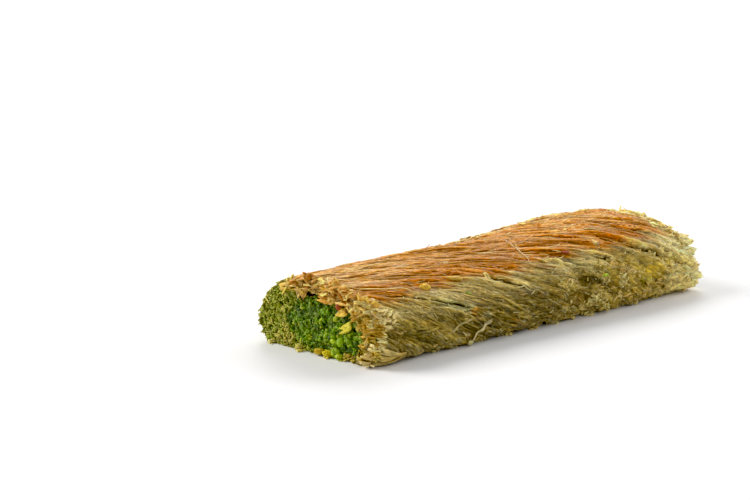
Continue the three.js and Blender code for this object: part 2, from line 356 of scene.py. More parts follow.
# --- Meshes ---
def make_piece(name, points, polygons, tint, flow, material, flat=0):
    """A piece of points in mm and arrays of polygons with equal corner counts, of which the last few may be
    shaded flat. Each point has a colour and a place in the streaks that run along the strands."""
    mesh = bpy.data.meshes.new(name)
    mesh.vertices.add(len(points))
    mesh.vertices.foreach_set("co", ((points + MIDDLE) * MM).astype(np.float32).ravel())
    counts = np.concatenate([np.full(len(p), p.shape[1]) for p in polygons])
    mesh.loops.add(int(counts.sum()))
    mesh.loops.foreach_set("vertex_index", np.concatenate([p.ravel() for p in polygons]).astype(np.int32))
    mesh.polygons.add(len(counts))
    mesh.polygons.foreach_set("loop_start", (np.cumsum(counts) - counts).astype(np.int32))
    smooth = [np.full(len(p), index < len(polygons) - flat) for index, p in enumerate(polygons)]
    mesh.polygons.foreach_set("use_smooth", np.concatenate(smooth))
    mesh.update(calc_edges=True)
    colours = np.concatenate([np.clip(tint, 0, 1), np.ones((len(points), 1))], 1)
    tint_data = mesh.color_attributes.new("tint", "FLOAT_COLOR", "POINT").data
    tint_data.foreach_set("color", colours.ravel())
    flow_data = mesh.attributes.new("flow", "FLOAT_VECTOR", "POINT").data
    flow_data.foreach_set("vector", flow.astype(np.float32).ravel())
    mesh.materials.append(material)
    piece = bpy.data.objects.new(name, mesh)
    bpy.context.scene.collection.objects.link(piece)
    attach(piece, "root")
    return piece


# The direction that round tubes face. It may be any that they don't run in.
ANY_WAY = np.array([0.31, 0.47, 0.83])
# How far apart in the streaks' pattern one strand or flake is from the next.
STRAND_STEP = 2.3
FLAKE_STEP = 5.1
# Thin flakes lose more red light than blue through their backs. This makes up for it.
THIN_TINT = np.array([1.2, 1.0, 0.8])


class Heap:
    """Many small closed shapes that become one piece."""

    def __init__(self):
        self.points, self.tints, self.flows, self.polygons, self.count = [], [], [], [], 0

    def add(self, points, polygons, tints, flows):
        """Adds a shape, or many alike, with polygons that count from its own first point."""
        self.polygons += [p + self.count for p in polygons]
        self.points.append(points.reshape(-1, 3))
        self.tints.append(tints.reshape(-1, 3))
        self.flows.append(flows.reshape(-1, 3))
        self.count += points.size // 3

    def piece(self, name, material, slot):
        """Makes the piece of all that was added."""
        points, tints, flows = (np.concatenate(part) for part in (self.points, self.tints, self.flows))
        make_piece(name, points, self.polygons, tints, flows, material)

    def tubes(self, paths, radii, tints, sides, facing=ANY_WAY, flatness=1.0):
        """Tubes along paths (strand, point, 3), with a radius and a colour at each point. Below a flatness of
        1 they are lower in the direction that they face."""
        strands, steps = paths.shape[:2]
        tangent = unit(np.gradient(paths, axis=1))
        side = unit(np.cross(tangent, facing))
        up = np.cross(side, tangent)
        angle = np.arange(sides) * 2 * math.pi / sides
        ring = side[:, :, None] * np.cos(angle)[:, None] + flatness * up[:, :, None] * np.sin(angle)[:, None]
        points = paths[:, :, None] + radii[:, :, None, None] * ring
        first = np.arange(strands)[:, None, None] * steps * sides
        here = first + np.arange(steps - 1)[:, None] * sides + np.arange(sides)
        beside = first + np.arange(steps - 1)[:, None] * sides + (np.arange(sides) + 1) % sides
        quads = np.stack([here, here + sides, beside + sides, beside], -1).reshape(-1, 4)
        start_caps = first[:, 0] + np.arange(sides)
        end_caps = first[:, 0] + (steps - 1) * sides + np.arange(sides)[::-1]
        stride = np.linalg.norm(np.diff(paths, axis=1, prepend=paths[:, :1]), axis=-1)
        run = np.cumsum(stride, 1) / STREAK_LENGTH
        place = np.stack([run, STRAND_STEP * np.arange(strands)[:, None] + 0 * run, 0 * run], -1)
        circle = np.stack([0 * angle, np.cos(angle), np.sin(angle)], -1)
        flow = place[:, :, None] + STRAND_RADIUS / STREAK_WIDTH * circle
        self.add(points, [quads, start_caps, end_caps], np.repeat(tints, sides, 1), flow)

    def lumps(self, rng, centres, sizes, tints, detail, roughness):
        """Uneven lumps of given sizes (lump, 3), each turned at random."""
        base, faces = ico_sphere(detail)
        count = len(centres)
        rough = base * varied(rng, roughness, count, len(base), 1) * sizes[:, None]
        points = np.einsum("nij,nvj->nvi", random_turns(rng, count), rough) + centres[:, None]
        keep_above(points, LUMP_GAP)
        colours = tints[:, None] * varied(rng, 0.15, count, len(base), 1)
        first = np.arange(count)[:, None, None] * len(base)
        self.add(points, [(first + faces).reshape(-1, 3)], colours, points / STREAK_WIDTH)

    def flakes(self, rng, centres, along, normal, lengths, widths, bend, tints, ribs=3, thickness=0.32,
               furrow=0.42):
        """Flakes of a few strands fused side by side: ribbed, bent outward by a height in mm at both ends,
        and with every strand broken off at its own length. furrow is how much shade is painted between the
        ribs, and the base is painted darker as shade too."""
        rows, columns = 5, 2 * ribs + 1
        count = len(centres)
        u, v = np.linspace(-0.5, 0.5, rows)[:, None], np.linspace(-0.5, 0.5, columns)
        across = unit(np.cross(normal, along))
        broken = varied(rng, 0.45, count, 2, columns)
        reach = lengths[:, None, None] * np.where(u < 0, broken[:, :1], broken[:, 1:])
        taper = 1 - 0.35 * np.abs(2 * u) ** 3 * rng.random((count, 1, 1))
        rib = np.abs(np.sin(math.pi * ribs * (v + 0.5)))
        lifted = bend[:, None, None] * 4 * u * u + 0.12 * rng.normal(size=(count, rows, columns))
        flat = centres[:, None, None] + along[:, None, None] * (u * reach)[..., None]
        flat = flat + across[:, None, None] * (v * widths[:, None, None] * taper)[..., None]
        top = flat + normal[:, None, None] * (lifted + thickness * (0.3 + 0.7 * rib))[..., None]
        base = flat + normal[:, None, None] * (lifted - 0.3 * thickness)[..., None]
        points = np.stack([top, base], 1)
        lowest = points[..., 2].min(axis=(1, 2, 3), keepdims=True)
        points[..., 2] += np.maximum(0, FLAKE_GAP - lowest)
        # Painted shade: darker between the ribs, and darker on the base than on the top.
        shade = (1.04 + furrow * (rib - 0.8)) * varied(rng, 0.14, count, 1, columns) + 0 * u
        shade = np.stack([shade, shade * 0.85], 1)[..., None] * THIN_TINT
        each = (np.arange(count) * 2 * rows * columns)[:, None, None]
        faces = [(each + f).reshape(-1, 4) for f in plate_quads(rows, columns)]
        own = FLAKE_STEP * np.arange(count)[:, None, None]
        flow = np.stack([u * lengths[:, None, None] / STREAK_LENGTH + 0 * v,
                         v * widths[:, None, None] / STREAK_WIDTH + 0 * u, own + 0 * u + 0 * v], -1)
        self.add(points, faces, tints[:, None, None, None] * shade, np.stack([flow, flow], 1))


def plate_quads(rows, columns):
    """The quads of a closed plate: a grid of top points, then the same grid of base points."""
    top = np.arange(rows * columns).reshape(rows, columns)
    base = top + rows * columns
    a, b, c, d = top[:-1, :-1], top[1:, :-1], top[1:, 1:], top[:-1, 1:]
    size = rows * columns
    yield np.stack([a, b, c, d], -1).reshape(-1, 4)
    yield np.stack([a, d, c, b], -1).reshape(-1, 4) + size
    yield np.stack([top[:-1, 0], base[:-1, 0], base[1:, 0], top[1:, 0]], -1)
    yield np.stack([top[:-1, -1], top[1:, -1], base[1:, -1], base[:-1, -1]], -1)
    yield np.stack([top[0, :-1], top[0, 1:], base[0, 1:], base[0, :-1]], -1)
    yield np.stack([top[-1, :-1], base[-1, :-1], base[-1, 1:], top[-1, 1:]], -1)


def ico_sphere(detail):
    """The points and triangles of an icosphere of radius 1."""
    shape = bmesh.new()
    bmesh.ops.create_icosphere(shape, subdivisions=detail, radius=1)
    base = np.array([v.co for v in shape.verts])
    faces = np.array([[v.index for v in f.verts] for f in shape.faces])
    shape.free()
    return base, faces


def random_turns(rng, count):
    """Random rotation matrices."""
    w, x, y, z = unit(rng.normal(size=(count, 4))).T
    rows = [
        [1 - 2 * (y * y + z * z), 2 * (x * y - w * z), 2 * (x * z + w * y)],
        [2 * (x * y + w * z), 1 - 2 * (x * x + z * z), 2 * (y * z - w * x)],
        [2 * (x * z - w * y), 2 * (y * z + w * x), 1 - 2 * (x * x + y * y)],
    ]
    return np.array(rows).transpose(2, 0, 1)


# --- Colours of the dough ---
# Patches of another colour: the place, half sizes in mm along and across, and the angle to the roll's axis.
PATCHES = table(
    "x turn length width degrees colour share",
    (-27, 0.710, 8, 1.7, 22, linear(176, 170, 112), 0.75),
    (-21, 0.736, 1.8, 1.2, 0, linear(190, 132, 26), 0.7),
    (-3, 0.722, 3.2, 1.5, 20, linear(84, 70, 14), 0.65),
    (16, 0.692, 5, 1.5, 22, linear(200, 184, 118), 0.7),
    (39, 0.746, 3.6, 1.8, 15, linear(200, 166, 48), 0.55),
    (36, 0.765, 2.5, 1.4, 10, linear(156, 154, 48), 0.45),
    (17, 0.730, 4, 1.3, 12, linear(72, 58, 10), 0.75),
    (-40, 0.755, 9, 3.2, 20, linear(112, 100, 30), 0.4),
    (48, 0.742, 5.5, 3.0, 8, linear(200, 172, 56), 0.55),
    # Painted glow of light through the dough low at the far end.
    (49, 0.805, 6.0, 2.6, 0, linear(214, 184, 78), 0.5),
)


def browned(x, turn):
    """How far the oven browned the dough at a place, from 0 low on the sides to 1 on the crown."""
    phase = across_strands(x, turn)
    reach = 0.158 + 0.02 * noise(phase / 2.5, x / 9, 31) + 0.015 * noise(phase / 0.7, x / 6, 32)
    return smoothstep(reach + 0.018, reach - 0.02, from_crown(turn)) * smoothstep(FAR + 1.5, FAR - 7, x)


def crown_tint(x, turn, phase, streak, own):
    """The crown: pale gold at its near end and golden further on, amber down its shoulders, red-brown where
    it caught, with painted glints of syrup in flecks and a painted rim light along its crest."""
    far = smoothstep(NEAR, FAR, x)
    away = from_crown(turn)
    # Painted glints of syrup: pale flecks that lighten the crown.
    painted_glint = noise(phase / 0.32, x / 0.9, 44)
    shoulder = 0.95 - 0.5 * smoothstep(0.42, 0.37, turn % 1)
    caught = 0.42 - 0.22 * far
    painted_glint_share = 0.42 - 0.34 * smoothstep(0.04, 0.12, away)
    colour = layered(
        PALE_GOLD,
        (GOLD, smoothstep(-0.1, 0.45, far + 0.15 * streak + 0.1)),
        (AMBER, shoulder * smoothstep(0.01, 0.115, away + 0.03 * streak)),
        (PEACH, 0.45 * far * smoothstep(0.2, 0.8, noise(phase / 0.7, x / 5, 35))),
        (RED_BROWN, caught * smoothstep(0.2, 1.1, noise(phase / 0.7, x / 3, 34) + 0.25 * own)),
        (PEACH, painted_glint_share * smoothstep(0.25, 0.9, painted_glint)),
    )
    # Painted rim light: a pale band along the crest at the back of the crown.
    crest = bell(turns_apart(turn, 0.405), 0.022) * smoothstep(-35, 5, x)
    colour = colour * (1 + 0.18 * painted_glint)[..., None]
    return blend(colour, FLAKE_PALE, 0.5 * crest * smoothstep(-0.9, 0.5, streak))


def side_tint(x, turn, phase, streak):
    """The sides: olive with painted silvery glints, yellower low on the far half, and pale straw at the far
    end, partly painted glow there.
    """
    away = from_crown(turn)
    low = smoothstep(0.17, 0.27, away)
    front_far = smoothstep(0, 34, x) * smoothstep(0.18, 0.25, away)
    fray = smoothstep(0.12, 0.2, turns_apart(turn, 0.5))
    return layered(
        OLIVE_LIGHT,
        (OLIVE, smoothstep(-0.4, 1.0, 1.3 * low + 0.6 * streak)),
        (OLIVE_DARK, 0.7 * smoothstep(0.1, 1.1, low - 0.6 * streak - 0.2)),
        (AMBER, 0.14 * smoothstep(0.4, 0.9, noise(phase / 1.4, x / 3, 36))),
        # Painted glints: silvery streaks over the sides.
        (SIDE_GLINT, 0.5 * smoothstep(0.3, 0.9, noise(phase / 0.32, x / 1.4, 46))),
        (YELLOW, 0.5 * front_far * smoothstep(-0.8, 0.6, streak)),
        # The far end's pale straw: partly the fray's own colour, partly painted glow of light through it.
        (PALE_STRAW, 0.85 * smoothstep(FAR - 7 - 5 * fray, FAR + 1 - 2 * fray, x + 3 * streak)),
    )


def clumped_and_painted_light(x, turn, phase):
    """How much lighter or darker the dough is at a place: in clumps, and by painted light and shade along and
    round the roll.
    """
    far = smoothstep(NEAR, FAR, x)
    away = from_crown(turn)
    low = smoothstep(0.17, 0.27, away)
    clumps = 0.24 * noise(phase / 0.55, x / 3.2, 37) + 0.22 * noise(phase / 1.5, x / 5, 38)
    # Besides the clumps, painted light and shade: lighter at the near end, over the far half and at the far
    # end; darker low on the sides, on the far shoulders and in the crown's middle; lighter high on the far
    # sides.
    clumps = clumps * (1 + 0.6 * far * smoothstep(0.04, 0.12, away)) + 0.02 - 0.07 * smoothstep(0.1, 0.4, far)
    clumps += 0.11 * smoothstep(0.4, 0.8, far) * (1 - low * low) + 0.08 * smoothstep(FAR - 8, FAR, x)
    clumps += 0.1 * low * noise(turn * PERIMETER / 1.7, x / 2.2, 40) - 0.05 * low
    clumps += 0.08 * smoothstep(0.45, 0.7, far) * (bell(away - 0.215, 0.035) - bell(away - 0.14, 0.025))
    return clumps - 0.06 * bell(far - 0.48, 0.1) * smoothstep(0.13, 0.09, away)


def patched(colour, x, turn, phase):
    """A colour with the patches laid over it."""
    ragged = 0.35 * noise(phase / 0.5, x / 1.5, 39)
    for patch in PATCHES:
        ahead = x - patch["x"]
        slope = math.tan(math.radians(patch["degrees"]))
        across = turns_apart(turn, patch["turn"]) * PERIMETER - slope * ahead
        here = np.exp(-((ahead / patch["length"]) ** 2) - (across / patch["width"]) ** 2)
        colour = blend(colour, patch["colour"], patch["share"] * smoothstep(0.3, 0.75, here + ragged * here))
    return colour


def dough_tint(x, turn, out, own):
    """The colour of the dough at a place and a depth, with painted shade where it lies deep. own is each
    strand's random number from -1 to 1.
    """
    phase = across_strands(x, turn)
    streak = noise(phase / 1.1, x / 6, 33) + 0.5 * own
    brown = browned(x, turn)
    # Painted shade: dough that lies deep below the locks is darkened, to dark olive on the sides and dark
    # brown where browned.
    painted_depth_shade = 0.7 * blend(OLIVE_DARK, DARK_BROWN, brown)
    colour = layered(
        side_tint(x, turn, phase, streak),
        (crown_tint(x, turn, phase, streak, own), brown),
        (0.85 * STAINED_LIGHT, 0.8 * smoothstep(NEAR + 2.5, NEAR - 0.2, x) * behind_core(turn)),
        (painted_depth_shade, 0.85 * smoothstep(-0.2, -1.3, out)),
    )
    return patched(colour, x, turn, phase) * (1 + 0.16 * own + clumped_and_painted_light(x, turn, phase))[..., None]


# --- Strands ---
def strand_angle(x, turn):
    """Degrees between the strands and the roll's axis: steepest over the far crown, shallow at the foot."""
    share = np.clip(x / LENGTH + 0.5, 0, 1)
    away = from_crown(turn)
    side = lerp(lerp(36, 20, smoothstep(0.05, 0.45, share)), 11, smoothstep(0.45, 0.7, share))
    foot = lerp(28, 5, smoothstep(0.1, 0.45, share))
    angle = lerp(13 + 30 * share**1.3, side, smoothstep(0.11, 0.22, away))
    return lerp(angle, foot, smoothstep(0.27, 0.33, away))


def slope_of(degrees):
    """How far a line at an angle to the roll's axis goes round for each mm along."""
    return np.tan(np.radians(degrees))


def near_end(rng, turn):
    """Where the saw cut each strand at the near end."""
    return NEAR - 0.2 - 0.7 * rng.random(turn.shape)


def far_end(rng, turn):
    """Where each strand ends at the far end, which frays most low on the front."""
    share = turn % 1
    foot = smoothstep(0.58, 0.70, share) * smoothstep(0.92, 0.84, share)
    return FAR + lerp(-0.6, 0.6, foot) + lerp(1.4, 3.0, foot) * rng.random(turn.shape) ** 1.3


def part_at_cracks(x, turn):
    """Turns moved apart where the locks gape."""
    for across, gape, depth in crack_distances(x, turn):
        push = 0.5 * depth * gape * bell(across, 1.5) * np.where(across < 0, -1, 1)
        turn = turn + push / PERIMETER
    return turn


def trace(rng, start, turn, length, tilt, lock, steps, sway, weave):
    """Strand paths along the roll from their start places: X, turn and distance out of the surface. Strands
    of a lock sway together, and each weaves in and out of its neighbours."""
    first = np.maximum(start, near_end(rng, turn))
    last = np.minimum(start + length, far_end(rng, turn + wound(FAR) - wound(start)))
    turn = turn + slope_of(strand_angle(start, turn) + tilt) * (first - start) / PERIMETER
    x = first[:, None] + (last - first)[:, None] * np.linspace(0, 1, steps)
    turns = np.empty_like(x)
    turns[:, 0] = turn
    for k in range(1, steps):
        slope = slope_of(strand_angle(x[:, k - 1], turns[:, k - 1]) + tilt)
        turns[:, k] = turns[:, k - 1] + slope * (x[:, k] - x[:, k - 1]) / PERIMETER
    own = rng.uniform(0, 1000, len(start))[:, None] + 0 * x
    loose = 1 + 1.2 * smoothstep(0.15, 0.24, from_crown(turns))
    together = 0.5 * noise(x / 11, 7.7 * lock[:, None] + 0 * x, 41)
    turns = turns + (together + sway * loose * noise(x / 3.6, own, 42)) / PERIMETER
    return x, part_at_cracks(x, turns), weave * loose * noise(x / 3.2, own, 43)


def combed(rng, low, high, width, run, per_lock, steps, sway, weave, tilt, **_):
    """Locks of strands that lie side by side over the zone between two turns, for a layer as listed below."""
    rows = max(1, round((high - low) * PERIMETER / width))
    columns = int((LENGTH + 2 * run) / run)
    locks = rows * columns
    row, column = np.divmod(np.arange(locks), columns)
    lock_start = NEAR + (column - 1.5 + rng.random(rows)[row] + rng.uniform(-0.2, 0.2, locks)) * run
    lock_turn = low + (high - low) * (row + 0.5 + rng.uniform(-0.3, 0.3, locks)) / rows
    lock_tilt = rng.normal(0, tilt, locks)
    lock_own = rng.uniform(-1, 1, locks)
    lock = np.repeat(np.arange(locks), per_lock)
    across = np.tile(np.linspace(-1, 1, per_lock), locks) + rng.uniform(-0.7, 0.7, len(lock)) / per_lock
    shift = rng.normal(0, 0.16 * run, len(lock))
    start = lock_start[lock] + shift
    slope = slope_of(strand_angle(lock_start, lock_turn) + lock_tilt)[lock]
    turn = lock_turn[lock] + (0.5 * width * across + slope * shift) / PERIMETER
    length = run * rng.uniform(1.0, 1.45, len(lock))
    keep = (start + length > NEAR + 3) & (start < FAR - 2)
    own_tilt = lock_tilt[lock] + rng.normal(0, 0.4 * tilt, len(lock)) - 1.2 * across
    chosen = (values[keep] for values in (start, turn, length, own_tilt, lock))
    x, turns, out = trace(rng, *chosen, steps, sway, weave)
    crest = 0.3 * (1 - across[keep, None] ** 2) - 0.15
    own = np.clip(0.35 * lock_own[lock] + 0.85 * rng.uniform(-1, 1, len(lock)), -1, 1)
    return x, turns, out + crest, own[keep]


# How far the tips of loose strands tuck into the skin, or lift out of it, and how pale they can be.
TUCK = 0.25
LIFT = 0.5
TIP_PALENESS = 0.35


def add_strands(heap, rng, x, turns, out, own, depth):
    """Adds strands at a depth along traced paths. Their tips taper, and tuck in or lift."""
    steps = x.shape[1]
    share = np.linspace(0, 1, steps)
    tips = np.exp(-share * 8) + np.exp(-(1 - share) * 8)
    cut = (x[:, :1] < NEAR) * np.exp(-share * 8)
    rises = LIFT * rng.uniform(-0.2, 1, (len(x), 1)) ** 3 - TUCK
    level = rng.uniform(*depth, (len(x), 1))
    out = out + level + locks_relief(x, turns) + rises * (tips - cut)
    points, normals = roll_point(x, turns, out)
    keep_above(points, STRAND_RADIUS + LUMP_GAP)
    tint = dough_tint(x, turns, level + 0 * x, own[:, None] + 0 * x)
    tint = blend(tint, STRAW * 0.9, TIP_PALENESS * tips * rng.random((len(x), 1)))
    tint *= varied(rng, 0.13, *x.shape, 1)
    radii = STRAND_RADIUS * (1 - 0.3 * tips) * varied(rng, 0.16, len(x), 1)
    keep = x[:, -1] - x[:, 0] > 1.5
    for across, gape, _ in crack_distances(x, turns):
        keep &= np.min(np.abs(across) + 3 * (gape < 0.2), 1) > 0.55
    heap.tubes(points[keep], radii[keep], tint[keep], 5, normals[keep], FLATNESS)


# --- Loose shreds, flakes and crumbs ---
def add_shreds(heap, rng, x, turn, degrees, length, curl, levels, rises, radius, pale, steps=6):
    """Short strands, each at an angle to the roll's axis, at levels over its locks. They curl by about so
    many degrees from end to end, and their far ends rise by a height in mm."""
    count = len(x)
    curls = rng.normal(0, curl, (count, 1))
    level = rng.uniform(*levels, (count, 1))
    rise = rng.uniform(*rises, (count, 1))
    tints = lit_tint(rng, x, turn, pale)
    share = np.linspace(0, 1, steps)
    wobble = np.cumsum(rng.normal(0, 9, (count, steps)), 1)
    angle = np.radians(degrees[:, None] + curls * (share - 0.5) + wobble)
    stride = length[:, None] / (steps - 1)
    xs = x[:, None] + np.cumsum(np.cos(angle) * stride, 1) - 0.5 * length[:, None] * np.cos(angle[:, :1])
    turns = turn[:, None] + np.cumsum(np.sin(angle) * stride, 1) / PERIMETER
    turns -= 0.5 * length[:, None] * np.sin(angle[:, :1]) / PERIMETER
    points = on_locks(xs, turns, level + rise * share**2)
    keep_above(points, radius + LUMP_GAP)
    radii = radius * rng.uniform(0.7, 1.15, (count, 1)) * (1 - 0.35 * np.abs(2 * share - 1) ** 4)
    heap.tubes(points, radii, tints[:, None] * varied(rng, 0.12, count, steps, 1), 4)


def scattered(rng, count, xs, turns):
    """Random places within a span of X and a span of turn."""
    return rng.uniform(*xs, count), rng.uniform(*turns, count)


def lit_tint(rng, x, turn, pale):
    """The dough's own colour at places, blended towards pale straw by up to a share."""
    own = rng.uniform(-1, 1, len(x))
    # Paler near the far end: partly the fray's own colour, partly painted glow of light through it.
    frayed = 0.5 * smoothstep(FAR - 9, FAR - 1, x)
    return blend(dough_tint(x, turn, 0 * x, own), PALE_STRAW, np.maximum(frayed, pale * rng.random(len(x))))


def make_shreds(material):
    """Short ends that lie over the skin, and a few that stand off it."""
    heap = Heap()
    rng = np.random.default_rng(201)
    # Along the strands, all over.
    for count, turns, pale in ((420, (0.60, 0.86), 0.7), (160, (0.38, 0.62), 0.5), (160, (0.14, 0.38), 0.6)):
        x, turn = scattered(rng, count, (NEAR + 2, FAR - 3), turns)
        degrees = strand_angle(x, turn) + rng.normal(0, 9, count)
        length = rng.lognormal(1.1, 0.45, count).clip(1.4, 7)
        add_shreds(heap, rng, x, turn, degrees, length, 18, (-0.12, 0.08), (-0.3, 0.2), 0.17, pale)
    # Short curls, low on the far front and along the foot of each side.
    for count, xs, turns in ((110, (8, FAR + 0.5), (0.69, 0.85)), (90, (NEAR, 10), (0.775, 0.865)),
                             (90, (NEAR, FAR), (0.135, 0.20))):
        x, turn = scattered(rng, count, xs, turns)
        length = rng.lognormal(0.6, 0.4, count).clip(0.8, 3.2)
        degrees = rng.uniform(-40, 75, count)
        add_shreds(heap, rng, x, turn, degrees, length, 50, (-0.15, 0.1), (-0.2, 0.45), 0.22, 0.7)
    # Fliers that stand off the surface.
    count = 40
    x, turn = scattered(rng, count, (NEAR + 3, FAR - 2), (0.36, 0.82))
    degrees = strand_angle(x, turn) + rng.normal(0, 20, count)
    length = rng.uniform(3, 8, count)
    add_shreds(heap, rng, x, turn, degrees, length, 50, (0, 0.1), (0.1, 0.9), 0.13, 0.9, steps=8)
    heap.piece("loose_shreds", material, "dough")


# Clots of wet crumbs on the sides, along the foot and under the near face: the place, how far they spread and
# stand out in mm, and how many crumbs they have.
CLOTS = table(
    "x turn reach out count tint",
    (18.5, 0.825, 2.4, 1.3, 46, linear(214, 194, 118)),
    (22, 0.80, 2.0, 0.9, 22, linear(204, 184, 108)),
    (17, 0.775, 1.8, 0.8, 22, linear(216, 196, 116)),
    (27, 0.755, 1.8, 0.8, 22, linear(206, 186, 116)),
    (6, 0.826, 1.6, 1.0, 26, linear(204, 184, 110)),
    (-1, 0.828, 2.2, 0.9, 26, linear(196, 164, 90)),
    (-9, 0.83, 1.8, 0.8, 20, linear(196, 176, 104)),
    (-18, 0.83, 1.6, 0.8, 18, linear(190, 172, 100)),
    (-31, 0.832, 2.0, 0.8, 20, linear(196, 180, 110)),
    (32, 0.83, 3.0, 0.7, 30, linear(204, 180, 104)),
    (44, 0.825, 2.6, 0.6, 22, linear(210, 184, 98)),
    (-52.6, 0.963, 1.3, -0.1, 10, linear(206, 190, 50)),
    (-52.6, 0.920, 1.2, -0.1, 9, linear(196, 204, 60)),
    (-52.5, 0.05, 1.6, -0.1, 12, linear(196, 180, 70)),
    (-51.2, 0.155, 2.2, 0.5, 30, linear(206, 200, 120)),
    (1.8, 0.828, 1.4, 0.6, 18, linear(196, 176, 104)),
    (29.5, 0.828, 1.6, 0.7, 20, linear(206, 184, 110)),
    (12, 0.83, 1.8, 0.7, 20, linear(200, 182, 110)),
    (37, 0.83, 1.6, 0.7, 16, linear(206, 184, 110)),
    (-12, 0.165, 2.4, 0.9, 24, linear(200, 180, 104)),
    (25, 0.175, 2.4, 0.9, 24, linear(204, 184, 108)),
)
# Crumbs over the skin: how many, where, the logarithm of their mean radius, and how far they stand out.
CRUMBS = table(
    "count xs turns mean high",
    (300, (6, FAR + 1), (0.69, 0.87), -0.9, 0.3),
    (300, (NEAR, 10), (0.79, 0.88), -1.0, 0.1),
    (110, (NEAR, FAR), (0.60, 0.78), -1.3, 0.1),
    (420, (NEAR, FAR), (0.39, 0.62), -1.8, 0.15),
    (260, (NEAR, FAR), (0.125, 0.24), -0.95, 0.1),
    (200, (NEAR, FAR), (0.816, 0.848), -0.95, 0.6),
    (260, (-8, FAR), (0.388, 0.425), -1.35, 0.45),
)
LOOSE_FLAKES = table(
    "count xs turns",
    (190, (6, FAR), (0.69, 0.87)),
    (40, (NEAR, FAR), (0.79, 0.88)),
    (16, (NEAR + 2, FAR), (0.62, 0.75)),
    (40, (NEAR, FAR), (0.14, 0.25)),
    (70, (-10, FAR), (0.392, 0.43)),
)


def add_crumbs(heap, rng, count, xs, turns, mean, high):
    """Round crumbs that stand half out of the skin."""
    x, turn = scattered(rng, count, xs, turns)
    size = rng.lognormal(mean, 0.35, count).clip(0.1, 0.85)
    centres = on_locks(x, turn, rng.uniform(-0.25, high, count) - 0.3 * size)
    sizes = size[:, None] * rng.uniform([0.6, 0.5, 0.5], [1.3, 0.9, 0.9], (count, 3))
    heap.lumps(rng, centres, sizes, lit_tint(rng, x, turn, 0.75), 2 if mean > -1 else 1, 0.2)


def add_loose_flakes(heap, rng, count, xs, turns):
    """Broken flakes that lie about along the strands."""
    x, turn = scattered(rng, count, xs, turns)
    along, normal = surface_frame(x, turn, strand_angle(x, turn) + rng.normal(0, 30, count))
    centres = on_locks(x, turn, rng.uniform(-0.25, 0.1, count))
    facing = unit(normal + 0.25 * rng.normal(size=normal.shape))
    heap.flakes(rng, centres, along, facing, rng.uniform(1.4, 3.4, count), rng.uniform(0.8, 1.7, count),
                rng.uniform(-0.3, 0.3, count), lit_tint(rng, x, turn, 0.7))


def add_clot(heap, rng, x, turn, reach, out, count, tint):
    """Crumbs stuck together round a place."""
    x = x + rng.normal(0, 0.5 * reach, count).clip(-reach, reach)
    turn = turn + rng.normal(0, 0.3 * reach, count) / PERIMETER
    size = rng.uniform(0.25, 0.6, count)
    centres = on_locks(x, turn, rng.uniform(-0.2, out, count))
    sizes = size[:, None] * rng.uniform([0.7, 0.5, 0.5], [1.6, 0.9, 0.9], (count, 3))
    heap.lumps(rng, centres, sizes, blend(tint, PALE_STRAW, 0.6 * rng.random(count)), 2, 0.22)


def make_crumbs(material):
    """Wet crumbs and broken flakes, most of them low on the sides."""
    heap = Heap()
    rng = np.random.default_rng(301)
    for spill in CRUMBS:
        add_crumbs(heap, rng, **spill)
    for spill in LOOSE_FLAKES:
        add_loose_flakes(heap, rng, **spill)
    for clot in CLOTS:
        add_clot(heap, rng, **clot)
    heap.piece("crumbs_and_flakes", material, "dough")


# --- The fused skin ---
# Where the skins end along the roll.
SKIN_NEAR = NEAR - 0.3
SKIN_FAR = FAR + 0.4
# How deep in the roll a skin's base is, and how many columns of its outside share one column of it.
SKIN_DEPTH = 2.6
PER_BASE = 10


def blurred(field, passes):
    """A field of heights with its fine detail smoothed away."""
    for _ in range(passes):
        wide = np.pad(field, 1, mode="edge")
        field = 0.25 * wide[:-2, 1:-1] + 0.5 * field + 0.25 * wide[2:, 1:-1]
        wide = np.pad(field, 1, mode="edge")
        field = 0.25 * wide[1:-1, :-2] + 0.5 * field + 0.25 * wide[1:-1, 2:]
    return field


